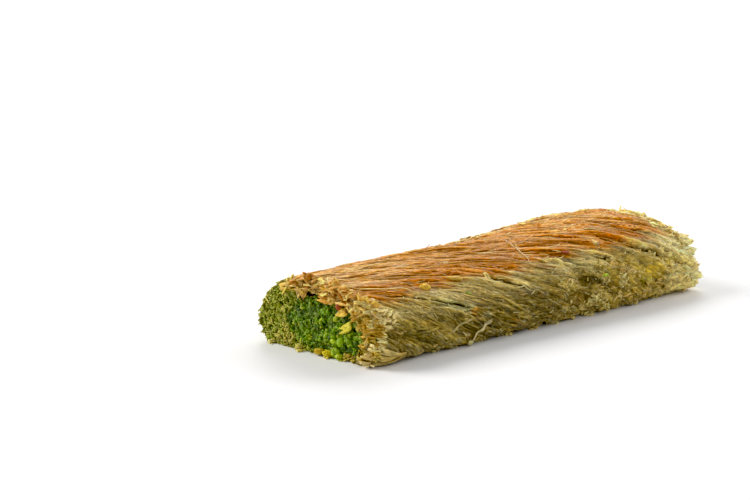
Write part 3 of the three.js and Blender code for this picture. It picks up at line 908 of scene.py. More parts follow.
class Skin:
    """A patch of the roll's outside between two turns, as a grid of heights over the plain surface. Strands
    and crumbs are pressed into it, so that they read as one mass fused by syrup. It becomes a thick closed
    plate."""

    def __init__(self, low, high, across, along):
        self.columns = PER_BASE * round((high - low) * PERIMETER / across / PER_BASE) + 1
        self.rows = round((SKIN_FAR - SKIN_NEAR) / along) + 1
        self.row_x = np.linspace(SKIN_NEAR, SKIN_FAR, self.rows)
        self.column_turn = np.linspace(low, high, self.columns)
        self.x, self.turns = np.meshgrid(self.row_x, self.column_turn, indexing="ij")
        self.relief = locks_relief(self.x, self.turns)
        self.out = self.relief - 0.8
        self.own = 0 * self.out

    def dab(self, row, turn, rise, thickness, half_width, own):
        """Lays round-backed bits across the columns of rows. The highest at a place shows."""
        step = self.column_turn[1] - self.column_turn[0]
        column = (turn - self.column_turn[0]) / step
        reach = math.ceil(np.max(half_width, initial=0) / PERIMETER / step)
        for shift in range(-reach, reach + 1):
            cell = np.rint(column).astype(int) + shift
            across = (cell - column) * step * PERIMETER / half_width
            height = rise + thickness * np.sqrt(np.clip(1 - across**2, 0, 1))
            inside = np.flatnonzero((np.abs(across) < 1) & (cell >= 0) & (cell < self.columns))
            inside = inside[np.argsort(height[inside])]
            inside = inside[height[inside] > self.out[row[inside], cell[inside]]]
            self.out[row[inside], cell[inside]] = height[inside]
            self.own[row[inside], cell[inside]] = own[inside]

    def press(self, x, turns, out, own, half_width, thickness):
        """Presses strands in along their paths. Their tips sink."""
        steps = x.shape[1]
        place = (self.row_x - x[:, :1]) / (x[:, -1:] - x[:, :1]) * (steps - 1)
        strand, row = np.nonzero((place > 0) & (place < steps - 1) & (x[:, -1:] > x[:, :1]))
        place = place[strand, row]
        before = place.astype(int)
        turn = lerp(turns[strand, before], turns[strand, before + 1], place - before)
        rise = lerp(out[strand, before], out[strand, before + 1], place - before)
        to_tip = np.minimum(place, steps - 1 - place) / (steps - 1)
        slant = np.cos(np.radians(strand_angle(self.row_x[row], turn)))
        self.dab(row, turn, rise - 0.3 * np.exp(-18 * to_tip), thickness, half_width / slant, own[strand])

    def press_crumbs(self, x, turn, rise, size, own):
        """Presses in round crumbs of given radii."""
        pitch = self.row_x[1] - self.row_x[0]
        reach = math.ceil(np.max(size) / pitch)
        for shift in range(-reach, reach + 1):
            row = np.rint((x - self.row_x[0]) / pitch).astype(int) + shift
            keep = (row >= 0) & (row < self.rows)
            row = np.clip(row, 0, self.rows - 1)
            chord = np.sqrt(np.clip(1 - ((self.row_x[row] - x) / size) ** 2, 0, 1))
            keep &= chord > 0.05
            width, height = (size * chord)[keep], (0.8 * size * chord)[keep]
            self.dab(row[keep], turn[keep], rise[keep], height, width, own[keep])

    def combed_flow(self):
        """At each place, how far it lies across the strands in mm, followed along them from the near end."""
        across = self.column_turn * PERIMETER
        rows = [across]
        for x, ahead in zip(self.row_x[:-1], self.row_x[1:]):
            slope = slope_of(strand_angle(x, self.column_turn))
            back = across - slope * (ahead - x)
            outside = back - np.clip(back, across[0], across[-1])
            rows.append(np.interp(back, across, rows[-1]) + outside)
        return np.array(rows)

    def open_cracks(self):
        """Cuts the cracks between locks, each with one lip raised, and returns how much shadow to paint in
        them.
        """
        shadow = 0 * self.out
        for across, gape, depth in crack_distances(self.x, self.turns):
            across = across + 0.25 * noise(self.x / 1.6, 0 * across, 64)
            half_width = 0.17 + 0.22 * (depth - 0.2) * gape
            self.out += 0.4 * depth * gape * bell(across + 0.9, 0.7)
            self.out -= 0.55 * depth * gape * bell(across - 0.8, 0.9)
            self.out -= 1.6 * depth * gape * bell(across, half_width)
            inside = np.exp(-((across / half_width) ** 4))
            shadow = np.maximum(shadow, np.minimum(1, 1.6 * gape) * inside)
        return shadow

    def ragged_x(self):
        """The skin's X, torn at both ends: at the far one into teeth, which reach furthest low in front."""
        around = self.turns * PERIMETER
        share = self.turns % 1
        foot = smoothstep(0.60, 0.72, share) * smoothstep(0.92, 0.84, share)
        teeth = 1.2 * noise(around / 1.6, 0 * around, 61) + 0.6 * noise(around / 0.6, 0 * around, 62)
        x = self.x + (teeth + 0.4 + 1.5 * foot) * smoothstep(FAR - 6, SKIN_FAR, self.x)
        return x + 0.3 * noise(around / 0.6, 0 * around, 63) * smoothstep(NEAR + 3, SKIN_NEAR, self.x)

    def tint(self, shadow):
        """The skin's colours, with painted shade in the furrows and a painted highlight on the crests, both
        less so on the sides, where crumbs lie thick low on the far front, and at the far end; and painted
        shadow in the cracks.
        """
        raised = np.clip((self.out - blurred(self.out, 4)) / 0.1, -1, 1)
        soft = 0.3 * smoothstep(0.13, 0.17, from_crown(self.turns))
        soft += 0.5 * smoothstep(2, 12, self.x) * smoothstep(0.68, 0.71, self.turns)
        soft = np.maximum(soft, 0.8 * smoothstep(FAR - 10, FAR - 2, self.x))
        # Painted shade in the furrows and painted highlight on the crests.
        relit = 1 + VALLEY_SHADE * (1 - soft) * raised
        colour = dough_tint(self.x, self.turns, self.out - self.relief, self.own) * relit[..., None]
        # Painted shadow in the cracks.
        return blend(colour, CRACK_SHADE, 0.93 * shadow)

    def plate(self, name, material):
        """Makes the piece: the skin's outside over a plain base deep in the roll."""
        self.out = lerp(self.out, blurred(self.out, 1), 0.5)
        rough = smoothstep(0.15, 0.2, from_crown(self.turns))
        rough *= 0.06 + 0.1 * smoothstep(2, 12, self.x) * smoothstep(0.68, 0.71, self.turns)
        self.out += rough * noise(self.turns * PERIMETER / 0.28, self.x / 0.6, 65)
        shadow = self.open_cracks()
        self.own = lerp(self.own, blurred(self.own, 1), 0.5)
        top, _ = roll_point(self.ragged_x(), self.turns, self.out)
        base_x = lerp(NEAR + 1.6, FAR - 1.2, np.linspace(0, 1, self.rows))[:, None]
        base_turn = self.column_turn[::PER_BASE] + 0 * base_x
        base, _ = roll_point(base_x, base_turn, -SKIN_DEPTH)
        keep_above(base, BASE_LIFT)
        points = stacked(top, base)
        keep_above(points, SKIN_GAP)
        flow = np.stack([self.x / STREAK_LENGTH, self.combed_flow() / STREAK_WIDTH, 0 * self.x], -1)
        tints = stacked(self.tint(shadow), face_shade(base_turn))
        flows = stacked(flow, base / STREAK_WIDTH)
        make_piece(name, points, self.polygons(), tints, flows, material, flat=6)

    def polygons(self):
        """The top's quads, then the base's and those of the walls round it, whose ends fan in to the base."""
        top = np.arange(self.rows * self.columns).reshape(self.rows, self.columns)
        bases = (self.columns - 1) // PER_BASE + 1
        base = top.size + np.arange(self.rows * bases).reshape(self.rows, bases)
        quads = [(grid[:-1, :-1], grid[:-1, 1:], grid[1:, 1:], grid[1:, :-1]) for grid in (top, base)]
        upper, lower = (np.stack(corners, -1).reshape(-1, 4) for corners in quads)
        walls = [np.stack([top[:-1, 0], top[1:, 0], base[1:, 0], base[:-1, 0]], -1),
                 np.stack([top[:-1, -1], base[:-1, -1], base[1:, -1], top[1:, -1]], -1)]
        fans = np.arange(bases - 1)[:, None] * PER_BASE + np.arange(PER_BASE + 1)
        near = np.concatenate([base[0, :-1, None], base[0, 1:, None], top[0][fans][:, ::-1]], 1)
        far = np.concatenate([top[-1][fans], base[-1, 1:, None], base[-1, :-1, None]], 1)
        return [upper, lower[:, ::-1], *walls, near, far]


# Layers of strands: the turns between which they lie, the width of a lock, how far apart locks start, the
# strands in a lock, the steps of a strand, how far it strays sideways and up, how far locks turn from the
# common angle in degrees, and how deep it lies. Lengths are in mm.
LONG = dict(width=3.0, run=20, per_lock=12, steps=18, sway=0.17, weave=0.13, tilt=3.4)
SHORT = dict(width=1.8, run=5.5, per_lock=8, steps=8, sway=0.26, weave=0.13, tilt=9)
FRAGMENTS = dict(width=1.4, run=6, per_lock=6, steps=8, sway=0.2, weave=0.12, tilt=6)
CROSSED = dict(width=1.5, run=4.2, per_lock=6, steps=7, sway=0.3, weave=0.16, tilt=15)
CROWN_AND_BROW = dict(low=0.35, high=0.66)
FRONT = dict(low=0.61, high=0.895)
BACK = dict(low=0.105, high=0.39)
PRESSED_LAYERS = [
    dict(**zone, **kind, depth=depth)
    for zone, kind, depth in (
        (CROWN_AND_BROW, LONG, (-0.35, -0.15)),
        (CROWN_AND_BROW, LONG, (-0.25, -0.05)),
        (CROWN_AND_BROW, LONG, (-0.2, 0)),
        (CROWN_AND_BROW, FRAGMENTS, (-0.2, 0.02)),
        (FRONT, LONG, (-0.45, -0.25)),
        (FRONT, SHORT, (-0.4, -0.1)),
        (FRONT, SHORT, (-0.35, 0)),
        (FRONT, CROSSED, (-0.3, 0.05)),
        (BACK, LONG, (-0.45, -0.25)),
        (BACK, SHORT, (-0.4, -0.1)),
        (BACK, CROSSED, (-0.3, 0.05)),
    )
]
LAID_ON = table(
    "name low high width run per_lock steps sway weave tilt depth",
    ("crown", 0.36, 0.63, 3.4, 20, 4, 16, 0.16, 0.1, 3, (-0.08, 0.08)),
    ("front", 0.62, 0.87, 2.8, 10, 3, 9, 0.24, 0.15, 9, (-0.15, 0.1)),
    ("back", 0.13, 0.36, 2.8, 12, 3, 9, 0.24, 0.15, 9, (-0.15, 0.1)),
    ("under", -0.12, 0.13, 3.4, 28, 8, 16, 0.3, 0.1, 3, (-0.3, -0.1)),
)
# Crumbs pressed into the skin: how many, where, and the mean and spread of the logarithm of their radius.
PRESSED_CRUMBS = table(
    "count xs turns size spread rise",
    (600, (7, FAR + 1), (0.700, 0.885), -0.85, 0.35, (-0.3, 0.25)),
    (1100, (NEAR, 10), (0.81, 0.885), -1.0, 0.3, (-0.2, 0.15)),
    (500, (NEAR, FAR), (0.67, 0.82), -1.2, 0.3, (-0.2, 0.1)),
    (900, (NEAR, FAR), (0.115, 0.21), -0.9, 0.3, (-0.25, 0.15)),
    (1800, (NEAR, FAR), (0.38, 0.62), -1.75, 0.3, (0.0, 0.15)),
    (1300, (0, FAR), (0.39, 0.66), -1.4, 0.3, (0.0, 0.15)),
)
# Short curled bits pressed into the skin at any angle: how many, where, their length and their height.
TANGLES = table(
    "count xs turns length rise",
    (2600, (5, FAR + 1), (0.695, 0.885), 1.7, (-0.35, 0.3)),
    (700, (NEAR, 8), (0.80, 0.885), 1.4, (-0.35, 0.1)),
    (900, (NEAR, FAR), (0.115, 0.20), 1.6, (-0.35, 0.1)),
    (500, (4, FAR), (0.40, 0.66), 1.2, (-0.15, 0.0)),
)
TANGLE_RADIUS = 0.26
# The skins: between which turns each lies, and the spacing of its points across and along the roll.
SKINS = table(
    "name low high across along",
    ("skin_back", 0.115, 0.375, 0.22, 0.5),
    ("skin_crown", 0.375, 0.615, 0.15, 0.34),
    ("skin_front", 0.615, 0.885, 0.15, 0.34),
)


def tangled(rng, spill):
    """Paths of short curled bits at any angle to the strands."""
    steps = 5
    x, turn = scattered(rng, spill["count"], spill["xs"], spill["turns"])
    share = np.linspace(-0.5, 0.5, steps)
    length = spill["length"] * rng.lognormal(0, 0.35, (len(x), 1))
    angle = np.radians(rng.uniform(-65, 65, (len(x), 1)) + rng.normal(0, 45, (len(x), 1)) * share)
    angle = np.clip(angle, -1.3, 1.3)
    xs = x[:, None] + length * share * np.cos(angle)
    turns = turn[:, None] + length * share * np.sin(angle) / PERIMETER
    rise = rng.uniform(*spill["rise"], (len(x), 1)) - 0.5 * rng.random((len(x), 1)) * (2 * share) ** 2
    return xs, turns, rise + locks_relief(xs, turns), rng.uniform(-0.5, 1.2, len(x))


def make_skins(material):
    """The three skins, which share one set of strands and crumbs."""
    rng = np.random.default_rng(100)
    laid = []
    for layer in PRESSED_LAYERS:
        x, turns, out, own = combed(rng, **layer)
        out = out + rng.uniform(*layer["depth"], (len(x), 1)) + locks_relief(x, turns)
        laid.append((x, turns, out, own))
    tangles = [tangled(rng, spill) for spill in TANGLES]
    crumbs = []
    for spill in PRESSED_CRUMBS:
        x, turn = scattered(rng, spill["count"], spill["xs"], spill["turns"])
        size = rng.lognormal(spill["size"], spill["spread"], len(x)).clip(0.15, 1.1)
        rise = rng.uniform(*spill["rise"], len(x)) + locks_relief(x, turn) - 0.3 * size
        crumbs.append((x, turn, rise, size, rng.uniform(-0.6, 1.6, len(x))))
    for patch in SKINS:
        skin = Skin(patch["low"], patch["high"], patch["across"], patch["along"])
        for strands_laid in laid:
            skin.press(*strands_laid, PRESSED_RADIUS, FLATNESS * PRESSED_RADIUS)
        for tangle in tangles:
            skin.press(*tangle, TANGLE_RADIUS, TANGLE_RADIUS)
        for spilt in crumbs:
            skin.press_crumbs(*spilt)
        skin.plate(patch["name"], material)


def make_strands(material):
    """Loose strands that lie on the skins, and those of the underside."""
    for index, layer in enumerate(LAID_ON):
        rng = np.random.default_rng(110 + index)
        heap = Heap()
        add_strands(heap, rng, *combed(rng, **layer), layer["depth"])
        heap.piece("strands_" + layer["name"], material, "dough")


# --- The bed under the strands ---
def core_outline(angle, grown):
    """The core's outline in Y and Z, grown by a distance, as in the part."""
    c, s = np.cos(angle), np.sin(angle)
    uneven = 1 + 0.04 * np.sin(2 * angle + 0.6) + 0.03 * np.sin(5 * angle + 2)
    y = CORE_WIDTH / 2 * uneven * np.sign(c) * np.abs(c) ** (2 / CORE_POWER)
    z = CORE_HEIGHT / 2 * np.sign(s) * np.abs(s) ** (2 / CORE_POWER)
    outward = unit(np.stack([y, z], -1))
    return np.stack([y, z], -1) + grown * outward + np.array(CORE_MIDDLE)


def grid_quads(rings, count, closed):
    """Quads between rings of points, and from the last ring to the first where closed."""
    i = np.arange(rings if closed else rings - 1)[:, None]
    j = np.arange(count)[None]
    a, b = i * count + j, i * count + (j + 1) % count
    above = (i + 1) % rings * count
    return np.stack([a, b, above + (j + 1) % count, above + j], -1).reshape(-1, 4)


def bed_end(rim, turn, far, across=10):
    """The rings of points of a torn face, in the order in which they follow the bed's skin: over the face
    from the rim to the core's channel at the far end, and back at the near one."""
    aside, up = (rim[:, 1:] - np.array(CORE_MIDDLE)).T
    lip = core_outline(np.arctan2(up / CORE_HEIGHT, aside / CORE_WIDTH), 0.0)
    lips = np.concatenate([rim[:, :1], lip], 1)
    share = (np.arange(1, across + 1) / (across + 1))[:, None, None]
    face = lerp(rim, lips, share)
    inward = -1 if far else 1
    pitted = 0.45 * noise(face[..., 1] / 1.3, face[..., 2] / 1.1, 52 if far else 51)
    deeper = 0.2 + 1.3 * above_core(turn)
    face[..., 0] += inward * (deeper * np.sin(math.pi * share[..., 0]) + pitted)
    channel = [lips, lips + [0.5 * inward, 0, 0]]
    return [*face, *channel] if far else [*channel[::-1], *face[::-1]]


def make_bed(material):
    """The mass of dough under the loose strands: a thick tube round the core, ridged along the strands, with
    torn faces."""
    around, along = 240, 50
    column = np.arange(around)
    x = np.linspace(NEAR + 0.6, FAR - 0.6, along)[:, None]
    turns = column / around + wound(x)
    ridge = noise(1.7 * column + 0 * x, x / 6 + 0 * column, 52)
    under = smoothstep(0.135, 0.115, np.abs(turns_apart(turns, 0)))
    out = lerp(-1.6, -0.2, under) + 0.95 * locks_relief(x, turns) + 0.15 * ridge
    skin, _ = roll_point(x + 0 * turns, turns, out)
    keep_above(skin, BED_GAP)
    angle = 2 * math.pi * column / around
    radius = PERIMETER / (2 * math.pi) / STREAK_WIDTH
    circle = radius * np.cos(angle), radius * np.sin(angle)
    points = [skin]
    tint = [dough_tint(x + 0 * turns, turns, -0.5 + 0 * out, 0.6 * ridge)]
    flow = [np.stack(np.broadcast_arrays(x / STREAK_LENGTH, *circle), -1)]
    for far in (True, False):
        rim = skin[-1 if far else 0]
        rim_turn = column / around + wound(rim[0, 0])
        for ring in bed_end(rim, rim_turn, far):
            points.append(ring)
            tint.append(face_shade(rim_turn))
            flow.append(ring / STREAK_WIDTH)
    points = stacked(*points)
    quads = grid_quads(len(points) // around, around, True)
    bed = make_piece("dough_bed", points, [quads], stacked(*tint), stacked(*flow), material)
    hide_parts("kadayif_wrap")


# --- The sawn faces ---
def above_core(turn):
    """1 where a sawn face is above the core, and 0 beside and below it."""
    turn = turn % 1
    return smoothstep(0.70, 0.62, turn) * smoothstep(0.35, 0.41, turn)


def behind_core(turn):
    """1 where a sawn face is stained green, behind the core and below it."""
    turn = turn % 1
    return np.clip(smoothstep(0.42, 0.36, turn) + smoothstep(0.88, 0.95, turn), 0, 1)


def face_shade(turn):
    """Painted shade between the crumbs of a sawn face, as the colour of the dough under them."""
    return blend(blend(STRAW_SHADE, FACE_SHADE, above_core(turn)), STAINED_SHADE, behind_core(turn))


# Half the width in which a face's places are sought, and the outline's size there: its crown is a bit lower.
FACE_HALF_WIDTH = 19.2
FACE_SCALE = np.array([1, 0.94])


def face_places(rng, count, within):
    """Random places of a sawn face: Y and Z, their turn, and the share of the way from the core's middle
    (0) over its rim (1) to the roll's outline (2), kept where within(share, turn) is true."""
    made = []
    while sum(len(m[0]) for m in made) < count:
        y = rng.uniform(-FACE_HALF_WIDTH, FACE_HALF_WIDTH, 4 * count)
        z = rng.uniform(0.15, HEIGHT, 4 * count)
        dy, dz = y - CORE_MIDDLE[0], z - CORE_MIDDLE[1]
        angle = np.arctan2(dz / CORE_HEIGHT, dy / CORE_WIDTH)
        lip = core_outline(angle, 0) - np.array(CORE_MIDDLE)
        to_lip = np.hypot(dy, dz) / np.linalg.norm(lip, axis=-1)
        turn = nearest_turn(y, z)
        rim = round_the(OUTLINE, turn) * FACE_SCALE - np.array(CORE_MIDDLE)
        to_rim = np.hypot(dy, dz) / np.linalg.norm(rim, axis=-1)
        share = np.where(to_lip < 1, to_lip, 1 + (to_lip - 1) / np.maximum(1e-6, to_lip / to_rim - 1))
        keep = (to_rim < 0.985) & within(share, turn)
        made.append((y[keep], z[keep], turn[keep], share[keep]))
    return [np.concatenate(column)[:count] for column in zip(*made)]


def nearest_turn(y, z):
    """The turn at which a ray from the core's middle through a place leaves the roll."""
    rim = OUTLINE[:-1] * FACE_SCALE - np.array(CORE_MIDDLE)
    angles = np.unwrap(np.arctan2(rim[:, 1], rim[:, 0]))
    angle = np.arctan2(z - CORE_MIDDLE[1], y - CORE_MIDDLE[0])
    wrapped = angles[0] + (angle - angles[0]) % (2 * math.pi)
    return np.interp(wrapped, np.append(angles, angles[0] + 2 * math.pi), TURNS)


def face_tint(rng, turn):
    """The colours of torn dough on a sawn face: golden above the core, straw in front, stained behind it."""
    count = len(turn)
    own = rng.uniform(-1, 1, count)
    golden = blend(FLAKE_GOLD, FLAKE_PALE, smoothstep(-0.9, 0.5, own))
    golden = blend(golden, RED_BROWN, rng.random(count) ** 3 * 0.55)
    straw = blend(0.9 * YELLOW, STRAW, smoothstep(-0.3, 1.7, own))
    straw = blend(straw, OLIVE, rng.random(count) * 0.4)
    stained = blend(STAINED_DARK, STAINED_LIGHT, smoothstep(-1, 1, own))
    back_foot = bell(turns_apart(turn, 0.15), 0.06)
    stained = blend(stained, STRAW, (rng.random(count) < 0.1 + 0.3 * back_foot) * 0.7)
    golden = golden * (1 + 0.32 * noise(turn * PERIMETER / 1.8, 0 * turn, 86))[:, None]
    colour = blend(blend(straw, golden, above_core(turn)), stained, behind_core(turn))
    return colour * (1 + 0.16 * own * (1 - 0.7 * behind_core(turn)))[:, None]


def end_tint(rng, end, turn):
    """The colours of torn dough at an end. The far one, which frays, is mostly pale straw: partly its own
    colour, partly painted glow of light through it.
    """
    return blend(face_tint(rng, turn), PALE_STRAW, 0 * turn if end < 0 else 0.35 + 0.45 * above_core(turn))


def end_places(end, out, y, z):
    """Points on an end's plane, standing out of it by a distance."""
    return np.stack([end * (FAR + out), y, np.maximum(z, 0.1)], -1)


# Flakes on the near face: the middle's place, the size, and the angle of the long side in radians.
FACE_FLAKES = table(
    "y z out length width lean tint",
    (-10.0, 8.1, 0.7, 3.8, 2.0, 2.6, linear(196, 200, 84)),
    (-8.7, 11.3, 0.7, 3.2, 1.9, 2.8, linear(244, 208, 104)),
    (5.3, 14.8, 0.7, 3.2, 1.8, 0.5, linear(240, 196, 96)),
    (10.0, 14.2, 0.4, 4.2, 1.8, 2.8, linear(232, 196, 104)),
    (-3.0, 16.0, 0.5, 3.0, 1.4, 2.9, linear(226, 170, 66)),
    (-12.6, 12.6, 0.6, 2.8, 1.7, 2.2, linear(226, 184, 84)),
)
# How far the far face lies further in than the near one, its crumbs and its flakes.
CRUMB_RECESS = 0.6
FLAKE_RECESS = 0.7


def crumbly(rng):
    """A test for the places of a face that crumbs cover: few of those above the core and behind the fan."""

    def within(share, turn):
        fanned = smoothstep(0.78, 0.81, turn) * smoothstep(0.89, 0.87, turn)
        return (share > 0.97) & (rng.random(turn.shape) < 1 - 0.9 * above_core(turn) - 0.7 * fanned)

    return within


def add_face_crumbs(heap, rng, end, count, mean, detail):
    """Ragged crumbs over a face. mean is the logarithm of their mean radius."""
    y, z, turn, _ = face_places(rng, count, crumbly(rng))
    size = rng.lognormal(mean, 0.3, count).clip(0.12, 0.8)
    out = rng.uniform(-0.7, 0.15, count) * (1 - 0.5 * behind_core(turn)) - CRUMB_RECESS * (end > 0)
    size = size * (1 - 0.25 * behind_core(turn))
    sizes = size[:, None] * rng.uniform(0.5, 1.35, (count, 3))
    heap.lumps(rng, end_places(end, out, y, z), sizes, end_tint(rng, end, turn), detail, 0.34)


def add_face_curls(heap, rng, end, count=420):
    """Short curls of dough that lie in a face."""
    y, z, turn, _ = face_places(rng, count, crumbly(rng))
    step = np.linspace(-0.5, 0.5, 4)[None, :, None]
    way = unit(rng.normal(size=(count, 3)) * [0.4, 1, 1])
    bow = unit(rng.normal(size=(count, 3)))
    length = rng.uniform(0.7, 2.2, (count, 1, 1))
    middle = end_places(end, rng.uniform(-0.3, 0.3, count) - CRUMB_RECESS * (end > 0), y, z)
    paths = middle[:, None] + length * (way[:, None] * step + bow[:, None] * 1.2 * step**2)
    keep_above(paths, 0.25)
    tints = blend(end_tint(rng, end, turn), STRAW, 0.3 * rng.random(count))
    radii = rng.uniform(0.16, 0.3, (count, 1)) * [[0.7, 1, 1, 0.6]]
    heap.tubes(paths, radii, np.repeat(tints[:, None], 4, 1), 4)


def add_face_flakes(heap, rng, end, count, within, lengths, widths):
    """Torn flakes that lie nearly flat and stick out of a face."""
    y, z, turn, _ = face_places(rng, count, within)
    centres = end_places(end, rng.uniform(-0.5, 0.6, count) - FLAKE_RECESS * (end > 0), y, z)
    along = unit(rng.normal(size=(count, 3)) * [0.5, 1, 0.3])
    facing = squared(rng.normal(size=(count, 3)) * 0.5 + [0.6 * end, -0.2, 0.85], along)
    tints = end_tint(rng, end, turn) * rng.uniform(0.78, 1.1, (count, 1))
    size = 1 if end < 0 else 0.55
    lengths, widths = size * rng.uniform(*lengths, count), size * rng.uniform(*widths, count)
    bend = rng.uniform(-0.4, 0.5, count)
    heap.flakes(rng, centres, along, facing, lengths, widths, bend, tints, thickness=0.26, furrow=0.3)


def add_cut_ends(heap, rng, end, count=240):
    """Cut strand ends, which mostly point along the roll."""

    def within(share, turn):
        return (share > 1.2) & (turn > 0.35) & (turn < 0.80)

    y, z, turn, _ = face_places(rng, count, within)
    length = rng.uniform(1.2, 3.0, count)
    tilt = rng.normal(0, 0.4, (count, 2))
    way = unit(np.stack([np.full(count, float(end)), tilt[:, 0], tilt[:, 1]], -1))
    tip = end_places(end, rng.uniform(-0.7, 0.4 if end < 0 else -0.1, count), y, z)
    back = np.linspace(1, 0, 4)[None, :, None]
    bow = rng.normal(0, 0.25, (count, 1, 3)) * (back * (1 - back)) * 4
    paths = tip[:, None] - way[:, None] * length[:, None, None] * back + bow
    keep_above(paths, 0.3)
    tints = np.repeat(end_tint(rng, end, turn)[:, None], 4, 1)
    heap.tubes(paths, np.full((count, 4), STRAND_RADIUS) * [1, 1, 1, 0.85], tints, 5)


def add_standing_flake(heap, rng, flake):
    """One of the flakes that stand out on the near face."""
    along = unit(np.array([[0.0, math.cos(flake["lean"]), math.sin(flake["lean"])]]))
    facing = squared(np.array([[-1.0, -0.15, 0.35]]), along)
    centre = np.array([[NEAR - flake["out"], flake["y"], flake["z"]]])
    heap.flakes(rng, centre, along, facing, np.array([flake["length"]]), np.array([flake["width"]]),
                np.array([0.3]), flake["tint"][None], ribs=2, thickness=0.55, furrow=0.15)


def make_torn_faces(material):
    """Crumbs, torn flakes and cut strand ends over the dough's sawn faces."""
    heap = Heap()
    for end, seed in ((-1, 61), (1, 62)):
        rng = np.random.default_rng(seed)
        add_face_crumbs(heap, rng, end, 900, -1.25, 1)
        add_face_crumbs(heap, rng, end, 460 if end < 0 else 260, -0.72, 2)
        add_face_curls(heap, rng, end)
        # The largest flakes hang over the core from the top, and more stand along the front wall.
        add_face_flakes(heap, rng, end, 64, lambda share, turn: (share > 1.2) & (above_core(turn) > 0.3),
                        (2.4, 5.0), (1.6, 3.2))
        add_face_flakes(heap, rng, end, 54, lambda share, turn: (share > 1.1) & (turn > 0.62) & (turn < 0.79),
                        (1.6, 3.6), (1.2, 2.2))
        add_cut_ends(heap, rng, end)
    rng = np.random.default_rng(63)
    for flake in FACE_FLAKES:
        add_standing_flake(heap, rng, flake)
    heap.piece("torn_dough", material, "dough")


# Where the fan's strands end: the share of the way across the fan, then X, Y and Z.
FAN_TIPS = [
    [0, 0.25, 0.5, 0.75, 1],
    [-53.4, -54.0, -54.5, -54.0, -53.0],
    [-17.8, -16.6, -15.2, -16.2, -18.3],
    [5.6, 3.6, 1.7, 0.7, 0.5],
]
FAN_ROOT_TINT = linear(196, 166, 80)
FAN_TIP_TINT = linear(255, 230, 166)
BROW_TINT = linear(255, 226, 160)


def add_fan(heap):
    """The fan of pale strands that splays out past the near face at the front foot."""
    rng = np.random.default_rng(402)
    count, steps = 9, 10
    share = np.linspace(0, 1, steps)
    spread = np.linspace(0, 1, count)[:, None]
    root_x = NEAR + rng.uniform(5, 9, (count, 1))
    x = lerp(root_x, NEAR - 0.2, share)
    turn = lerp(0.796 + 0.02 * spread, 0.772 + 0.085 * spread, share)
    raised = lerp(0.1, 0.9, smoothstep(0, 0.45, share)) + rng.uniform(-0.15, 0.25, (count, 1))
    points, normals = roll_point(x, turn, raised)
    tips = np.stack([np.interp(spread[:, 0], FAN_TIPS[0], row) for row in FAN_TIPS[1:]], 1)
    tips += rng.uniform(-0.25, 0.25, (count, 3))
    points = lerp(points, tips[:, None], (share**2.5)[:, None])
    keep_above(points, 0.4 + 0.4 * rng.random((count, 1)))
    radii = rng.uniform(0.46, 0.62, (count, 1)) * (0.8 + 0.2 * share) * (1 - 0.5 * share**6)
    tints = blend(FAN_ROOT_TINT, FAN_TIP_TINT, share**1.5 * rng.uniform(0.5, 1, (count, 1)))
    heap.tubes(points, radii, tints * rng.uniform(0.85, 1.05, (count, 1, 1)), 6, normals, 0.6)


# Pale flakes that stand off the front brow beside the near face.
BROW_FLAKES = table(
    "x turn degrees length width",
    (-51.4, 0.690, 50, 2.4, 1.1),
    (-50.2, 0.684, 15, 2.6, 1.0),
    (-49.2, 0.690, -35, 2.0, 1.1),
    (-47.8, 0.696, -20, 2.6, 0.9),
    (-46.6, 0.703, -30, 2.0, 0.8),
    (-50.4, 0.702, 65, 2.2, 1.0),
    (-48.8, 0.706, 20, 2.4, 1.2),
    (-47.2, 0.715, -15, 1.8, 0.8),
    (-50.0, 0.717, 35, 2.2, 1.1),
    (-51.6, 0.712, -10, 2.0, 1.1),
    (-48.8, 0.724, 5, 1.8, 0.9),
)


def add_brow_flakes(heap):
    """The flakes that stand off the front brow."""
    rng = np.random.default_rng(403)
    x, turn, degrees, length, width = np.array([list(flake.values()) for flake in BROW_FLAKES]).T
    along, normal = surface_frame(x, turn, degrees)
    centres = on_locks(x, turn, 0.45)
    facing = squared(normal + [-0.2, 0, 0.9] + 0.3 * rng.normal(size=normal.shape), along)
    tints = BROW_TINT * rng.uniform(0.85, 1, (len(x), 1))
    heap.flakes(rng, centres, along, facing, length, width, rng.uniform(-0.2, 0.3, len(x)), tints, ribs=2,
                thickness=0.3, furrow=0.25)


# Fringes of flakes that stick out past the ends.
FRINGES = table(
    "count xs turns lengths widths",
    (9, (NEAR - 0.4, NEAR + 1.5), (0.73, 0.775), (1.6, 3), (0.8, 1.4)),
    (30, (NEAR - 0.2, NEAR + 1.2), (0.42, 0.72), (1.8, 4.2), (0.9, 2.0)),
    (90, (FAR - 3, FAR + 0.8), (0.34, 0.70), (2.4, 5.0), (1.0, 2.2)),
    (100, (FAR - 6, FAR + 2.4), (0.66, 0.86), (2.2, 4.8), (1.3, 2.6)),
    (40, (FAR - 1.5, FAR + 1), (0.12, 0.34), (2, 4), (0.8, 2)),
)
FAR_FRINGE_TINT = np.array([0.94, 1.0, 1.1])


